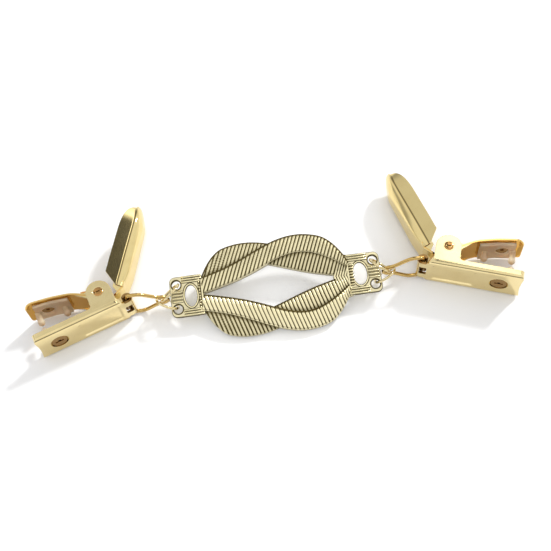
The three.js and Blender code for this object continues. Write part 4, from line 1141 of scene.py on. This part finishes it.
def ring_path(which, side, steps=96):
    """Points of a jump ring, open at its butt joint."""
    at = ornament_place()
    up_v = Vector((0, math.cos(TILT), math.sin(TILT)))
    up_n = Vector((0, -math.sin(TILT), math.cos(TILT)))

    def ends(ring):
        hole = up_v * ring["row"] * (HOLE_V + ring["across"])
        hole.x = HOLE_U + ring["along"]
        return hole, Vector((NOSE_X + LINK_RADIUS + RING_RADIUS + ring["reach"], 0, ring["rise"]))

    hole, nose = ends(RINGS["near"])
    radius = (nose - hole).length / (2 * RING_FILL)
    hole, nose = ends(RINGS[which])
    along = (nose - hole).normalized()
    up = (up_n - along * up_n.dot(along)).normalized()
    lean = math.radians(RINGS[which]["lean"])
    toward = up * math.cos(lean) + along.cross(up) * math.sin(lean)
    centre = (hole + nose) / 2 + toward * math.sqrt(radius ** 2 - ((nose - hole).length / 2) ** 2)
    points = []
    for i in range(steps + 1):
        x, y = polar(radius, 90 + RING_SPLIT / 2 + (360 - RING_SPLIT) * i / steps)
        p = centre + along * x + toward * y
        points.append(at + Vector((side * p.x, p.y, p.z)) * MM)
    return points


def link_path(hand, side):
    """Points of a link's closed loop, from its bar to its nose and back."""
    nose = -LINK_LENGTH + NOSE_RADIUS
    start = -LINK_CORNER - LINK_STRAIGHT
    upper = []
    for i in range(9):
        x, z = polar(LINK_CORNER, 90 * i / 8)
        upper.append((x - LINK_CORNER, LINK_SPREAD - LINK_CORNER + z))
    for i in range(25):
        t = i / 24
        upper.append((lerp(start, nose, t), lerp(LINK_SPREAD, NOSE_RADIUS, ease(t, 0, 1))))
    for i in range(1, 13):
        x, z = polar(NOSE_RADIUS, 90 + 90 * i / 12)
        upper.append((nose + x, z))
    loop = upper + [(x, -z) for x, z in reversed(upper[:-1])]
    at = joint_place(f"{hand}_clip_swing")
    return [at + Vector((side * x, 0, side * z)) * MM for x, z in loop]


def darken_bar(mesh, hand):
    """Paints shade on the part of a link that lies in the knuckle."""
    bar = joint_place(f"{hand}_clip_swing")
    half = (LINK_SPREAD - LINK_CORNER + NEAR) * MM
    inside = []
    for vertex in mesh.vertices:
        away = vertex.co - bar
        inside.append(float(abs(away.x) < BAR_REACH * MM and abs(away.z) < half))
    give_values(mesh, "fold_and_bore_shade", inside)


def spring_path(hand, side, legs=12):
    """Points of a torsion spring, from its jaw leg to its body leg."""
    start, end = JAW_LEG_ANGLE + 90, BODY_LEG_ANGLE - 90 + 360 * COIL_TURNS
    steps = 40 * COIL_TURNS
    coil = []
    for i in range(steps + 1):
        x, y = polar(COIL_RADIUS, lerp(start, end, i / steps))
        coil.append(Vector((PIVOT[0] + x, PIVOT[1] + y, lerp(-COIL_HALF, COIL_HALF, i / steps))))
    jaw = Vector((*polar(JAW_LEG, JAW_LEG_ANGLE), 0))
    web = Vector((*polar(BODY_LEG, BODY_LEG_ANGLE), 0))
    first = [coil[0] + jaw * (1 - i / legs) for i in range(legs)]
    last = [coil[-1] + web * ((i + 1) / legs) for i in range(legs)]
    matrix = clip_matrix(hand, side)
    return [matrix @ p for p in first + coil + last]


# Operators

class CINCHER_OT_ornament(bpy.types.Operator):
    """Build the cast ornament: ribbed ribbons, collars and lugs"""

    bl_idname = "cincher.ornament"
    bl_label = "Ornament"

    def execute(self, context):
        look = context.scene.cincher_casting
        metal = patina_and_shade_metal("champagne_patina_and_shade", look.gold, look.dark)
        seat = {"Tilt": (TILT, 0, 0), "Place": ornament_place(), "Material": metal}
        leans = {"Far": math.tan(look.lean_far), "Near": math.tan(look.lean_near)}
        ribs = {"Pitch": look.rib_pitch, "Depth": look.rib_depth, **leans, **seat}
        shell = Shell()
        for row in ROWS:
            ribbon(shell, -1, row)
            ribbon(shell, 1, row)
        for side in (1, -1):
            collar(shell, side)
            for row in ROWS:
                rail(shell, side, row)
        tree = rib_tree()
        mesh = grow(shell.mesh("casting"), tree, **ribs)
        mesh.set_sharp_from_angle(angle=math.radians(CAST_SHARP))
        add_piece("ornament_ribbons", mesh, "ornament", "antique_gold", "ornament")
        for hand, side in HANDS:
            mesh = grow(lug_plate(side), tree, **ribs)
            mesh.set_sharp_from_angle(angle=math.radians(CAST_SHARP))
            add_piece(f"ornament_{hand}_lug", mesh, "ornament", "antique_gold")
            add_piece(f"ornament_{hand}_rims", lug_rims(side, metal), "ornament", "antique_gold")
        for name, (start, end, half, darkness) in GROUNDS.items():
            outline = rounded_outline(start, end, half, GROUND_CORNER)
            mesh = plate([outline], GROUND_THICK, GROUND_EDGE)
            give_values(mesh, "patina_and_painted_shade", [darkness] * len(mesh.vertices))
            mesh.transform(lug_face())
            mesh.materials.append(metal)
            add_piece(f"ornament_{name}_ground", mesh, "ornament", "antique_gold")
        tree = ridge_tree()
        for name, (count, first, step, size) in RIDGE_ROWS.items():
            sizes = {"Start": (*first, LUG_THICK / 2), "Step": (0, step, 0), "Size": size}
            metres = {key: tuple(c * MM for c in value) for key, value in sizes.items()}
            mesh = grow(bpy.data.meshes.new("row"), tree, Count=count, **metres, **seat)
            add_piece(f"ornament_{name}", mesh, "ornament", "antique_gold")
        return {"FINISHED"}


class CINCHER_OT_rings(bpy.types.Operator):
    """Build the four jump rings"""

    bl_idname = "cincher.rings"
    bl_label = "Jump rings"

    def execute(self, context):
        look = context.scene.cincher_wires
        metal = plated_metal("ring_plating", look.ring_gold, roughness=0.1)
        for hand, side in HANDS:
            for which in RINGS:
                mesh = round_wire(ring_path(which, side), False, look.ring_wire, look.sides, metal)
                node = f"{hand}_ring_{which}"
                add_piece(f"{hand}_{which}_jump_ring", mesh, node, "ring_gold", node)
        return {"FINISHED"}


class CINCHER_OT_links(bpy.types.Operator):
    """Build the two wire links"""

    bl_idname = "cincher.links"
    bl_label = "Wire links"

    def execute(self, context):
        look = context.scene.cincher_wires
        metal = plated_metal("link_plating", look.link_gold, roughness=0.1)
        for hand, side in HANDS:
            mesh = round_wire(link_path(hand, side), True, look.link_wire, look.sides, metal)
            darken_bar(mesh, hand)
            add_piece(f"{hand}_wire_link", mesh, f"{hand}_link", "link_gold", f"{hand}_link")
        return {"FINISHED"}


class CINCHER_OT_springs(bpy.types.Operator):
    """Build the two torsion springs"""

    bl_idname = "cincher.springs"
    bl_label = "Torsion springs"

    def execute(self, context):
        look = context.scene.cincher_wires
        metal = plated_metal("spring_copper_wire", look.copper, roughness=0.22)
        for hand, side in HANDS:
            mesh = round_wire(spring_path(hand, side), False, look.spring_wire, look.sides, metal)
            spring = add_piece(f"{hand}_torsion_spring", mesh, None, "spring_copper")
            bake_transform(spring)
            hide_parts(f"{hand}_spring")
        return {"FINISHED"}


class CINCHER_OT_bodies(bpy.types.Operator):
    """Finish the clip bodies"""

    bl_idname = "cincher.bodies"
    bl_label = "Clip bodies"

    def execute(self, context):
        look = context.scene.cincher_clips
        metal = plated_metal("champagne_plating", look.gold, roughness=0.13)
        # Dark brown plating inside the knuckle, as painted shade
        bore = plated_metal("knuckle_bore_painted_shade", look.eyelet_gold, roughness=0.3, toning=0.6)
        for hand, side in HANDS:
            matrix = clip_matrix(hand, side)
            mesh = finished_copy(f"{hand}_clip_body", metal, BODY_SHARP)
            slope_panel(mesh, matrix)
            widen_relief(mesh, matrix)
            shade_bore(mesh, matrix, bore)
            piece = add_piece(f"{hand}_channel", mesh, f"{hand}_clip", "clip_gold", f"{hand}_clip_body")
            soften(piece, look.edge, BODY_SHARP)
            mesh = ears().mesh("ears", matrix, metal)
            piece = add_piece(f"{hand}_ears", mesh, f"{hand}_clip", "clip_gold")
            soften(piece, look.edge, BODY_SHARP)
        return {"FINISHED"}


class CINCHER_OT_levers(bpy.types.Operator):
    """Finish the jaw arms with their levers and pivot ends"""

    bl_idname = "cincher.levers"
    bl_label = "Levers and jaws"

    def execute(self, context):
        look = context.scene.cincher_clips
        metal = plated_metal("lever_plating", look.lever_gold, roughness=0.09)
        deep = tinted(context.scene.cincher_wires.copper, PIVOT_TINT)
        copper = plated_metal("pivot_copper", deep, roughness=0.18, toning=0.5)
        for hand, side in HANDS:
            matrix = clip_matrix(hand, side)
            mesh = arm_sheet().mesh("arm", matrix, metal)
            piece = add_piece(f"{hand}_lever_and_jaw", mesh, f"{hand}_jaw", "lever_gold", f"{hand}_clip_arm")
            soften(piece, look.edge, ARM_SHARP)
            mesh = pivot_ends().mesh("ends", matrix, copper)
            add_piece(f"{hand}_pivot_ends", mesh, f"{hand}_jaw", "spring_copper")
        return {"FINISHED"}


class CINCHER_OT_pads(bpy.types.Operator):
    """Finish the gripping pads"""

    bl_idname = "cincher.pads"
    bl_label = "Gripping pads"

    def execute(self, context):
        look = context.scene.cincher_clips
        plastic = milky_plastic("milky_plastic", look.pad)
        finish_fittings("pad", "grip", "pad_milky", plastic, look.edge, PAD_SHARP)
        return {"FINISHED"}


class CINCHER_OT_eyelets(bpy.types.Operator):
    """Finish the eyelets that hold the pads"""

    bl_idname = "cincher.eyelets"
    bl_label = "Eyelets"

    def execute(self, context):
        look = context.scene.cincher_clips
        metal = plated_metal("eyelet_plating", look.eyelet_gold, roughness=0.25, toning=0.6)
        finish_fittings("eyelet", "rivet", "eyelet_gold", metal, look.edge / 2, EYELET_SHARP)
        return {"FINISHED"}


def lay_floor(scene):
    """A sheet of white paper under the piece."""
    corners = [(x * FLOOR_HALF, y * FLOOR_HALF, 0) for x, y in ((-1, -1), (1, -1), (1, 1), (-1, 1))]
    mesh = bpy.data.meshes.new("floor")
    mesh.from_pydata(corners, [], [(0, 1, 2, 3)])
    mesh.materials.append(white_paper("white_paper"))
    floor = bpy.data.objects.new("floor", mesh)
    scene.collection.objects.link(floor)


def hang_panels(scene, strength):
    """Light from all round: pale and dark panels behind the piece, and a darker band low in front of it."""
    world = bpy.data.worlds.new("studio")
    world.use_nodes = True
    graph = Graph(world.node_tree)
    world.node_tree.nodes.clear()
    ray = graph.node("ShaderNodeSeparateXYZ", {0: graph.add("ShaderNodeTexCoord", output="Generated")})
    x, y, z = (Value(graph, output) for output in ray.outputs)
    stops = [(spot, rgba((tone / STUDIO_PEAK,) * 3)) for spot, tone in STUDIO_TONES]
    panels = graph.add("ShaderNodeValToRGB", {0: x * 0.5 + 0.5}, stops=stops) * (STUDIO_GAIN * STUDIO_PEAK)
    behind = y.smooth(*BEHIND_BACK) * z.smooth(*BEHIND_UP)
    low = behind * (1.0 - z.smooth(*LOW_UP)) * (1.0 - abs(x).smooth(*LOW_SIDE))
    front = (y * -1.0).smooth(*FRONT_NEAR) * z.smooth(*FRONT_FLOOR) * (1.0 - z.smooth(*FRONT_UP))
    light = STUDIO_ROUND + behind * (panels - STUDIO_ROUND)
    light = light * (1.0 - low * LOW_DIM) * (1.0 - front * FRONT_DIM)
    glow = graph.add("ShaderNodeBackground", {"Color": light, "Strength": strength})
    graph.node("ShaderNodeOutputWorld", {"Surface": glow})
    scene.world = world


def set_lamp(scene, name, kind, toward, distance, **settings):
    """A lamp that shines from a direction onto the middle of the piece."""
    light = bpy.data.lights.new(name, kind)
    for key, value in settings.items():
        setattr(light, key, value)
    lamp = bpy.data.objects.new(name, light)
    lamp.location = toward * distance
    lamp.rotation_euler = toward.to_track_quat("Z", "Y").to_euler()
    scene.collection.objects.link(lamp)
    return lamp


def set_camera(scene, look):
    """A camera at the photograph's angle."""
    camera = bpy.data.objects.new("camera", bpy.data.cameras.new("camera"))
    camera.data.lens, camera.data.sensor_width, camera.data.clip_start = look.lens, SENSOR, NEAREST
    scene.collection.objects.link(camera)
    back = Vector((0, -math.cos(look.elevation), math.sin(look.elevation)))
    stand = Matrix.Translation(Vector(look.target) + back * look.distance)
    aim = (-back).to_track_quat("-Z", "Y").to_matrix().to_4x4()
    camera.matrix_world = stand @ aim @ Matrix.Rotation(-look.roll, 4, "Z")
    scene.camera = camera


class CINCHER_OT_stage(bpy.types.Operator):
    """Set the floor, the lights and the camera"""

    bl_idname = "cincher.stage"
    bl_label = "Stage"

    def execute(self, context):
        scene = context.scene
        look = scene.cincher_stage
        lay_floor(scene)
        hang_panels(scene, look.fill)
        level, height = polar(1, KEY_HEIGHT)
        toward = Vector((*polar(level, KEY_AZIMUTH), height))
        set_lamp(scene, "key", "SUN", toward, 0.0, energy=look.key, angle=math.radians(KEY_SOFT))
        cone = {"spot_size": math.radians(TOP_CONE), "spot_blend": TOP_BLEND, "shadow_soft_size": TOP_SIZE}
        toward = Vector(TOP_FROM).normalized()
        lamp = set_lamp(scene, "top", "SPOT", toward, TOP_DISTANCE, energy=look.top, **cone)
        lamp.visible_glossy = False
        set_camera(scene, look)
        scene.view_settings.view_transform = "Standard"
        return {"FINISHED"}


STEPS = ("ornament", "rings", "links", "springs", "bodies", "levers", "pads", "eyelets", "stage")


class CINCHER_PT_panel(bpy.types.Panel):
    """The steps that build the cincher"""

    bl_label = "Dress cincher clip"
    bl_idname = "CINCHER_PT_panel"
    bl_space_type = "VIEW_3D"
    bl_region_type = "UI"
    bl_category = "Cincher"

    def draw(self, context):
        for step in STEPS:
            self.layout.operator("cincher." + step)


GROUPS = {
    "cincher_casting": CINCHER_PG_casting,
    "cincher_wires": CINCHER_PG_wires,
    "cincher_clips": CINCHER_PG_clips,
    "cincher_stage": CINCHER_PG_stage,
}
CLASSES = (
    *GROUPS.values(), CINCHER_OT_ornament, CINCHER_OT_rings, CINCHER_OT_links, CINCHER_OT_springs,
    CINCHER_OT_bodies, CINCHER_OT_levers, CINCHER_OT_pads, CINCHER_OT_eyelets, CINCHER_OT_stage,
    CINCHER_PT_panel,
)


def register():
    for cls in CLASSES:
        bpy.utils.register_class(cls)
    for name, group in GROUPS.items():
        setattr(bpy.types.Scene, name, PointerProperty(type=group))


def unregister():
    for name in GROUPS:
        delattr(bpy.types.Scene, name)
    for cls in reversed(CLASSES):
        bpy.utils.unregister_class(cls)


def main():
    register()
    for step in STEPS:
        getattr(bpy.ops.cincher, step)()


if __name__ == "__main__":
    main()
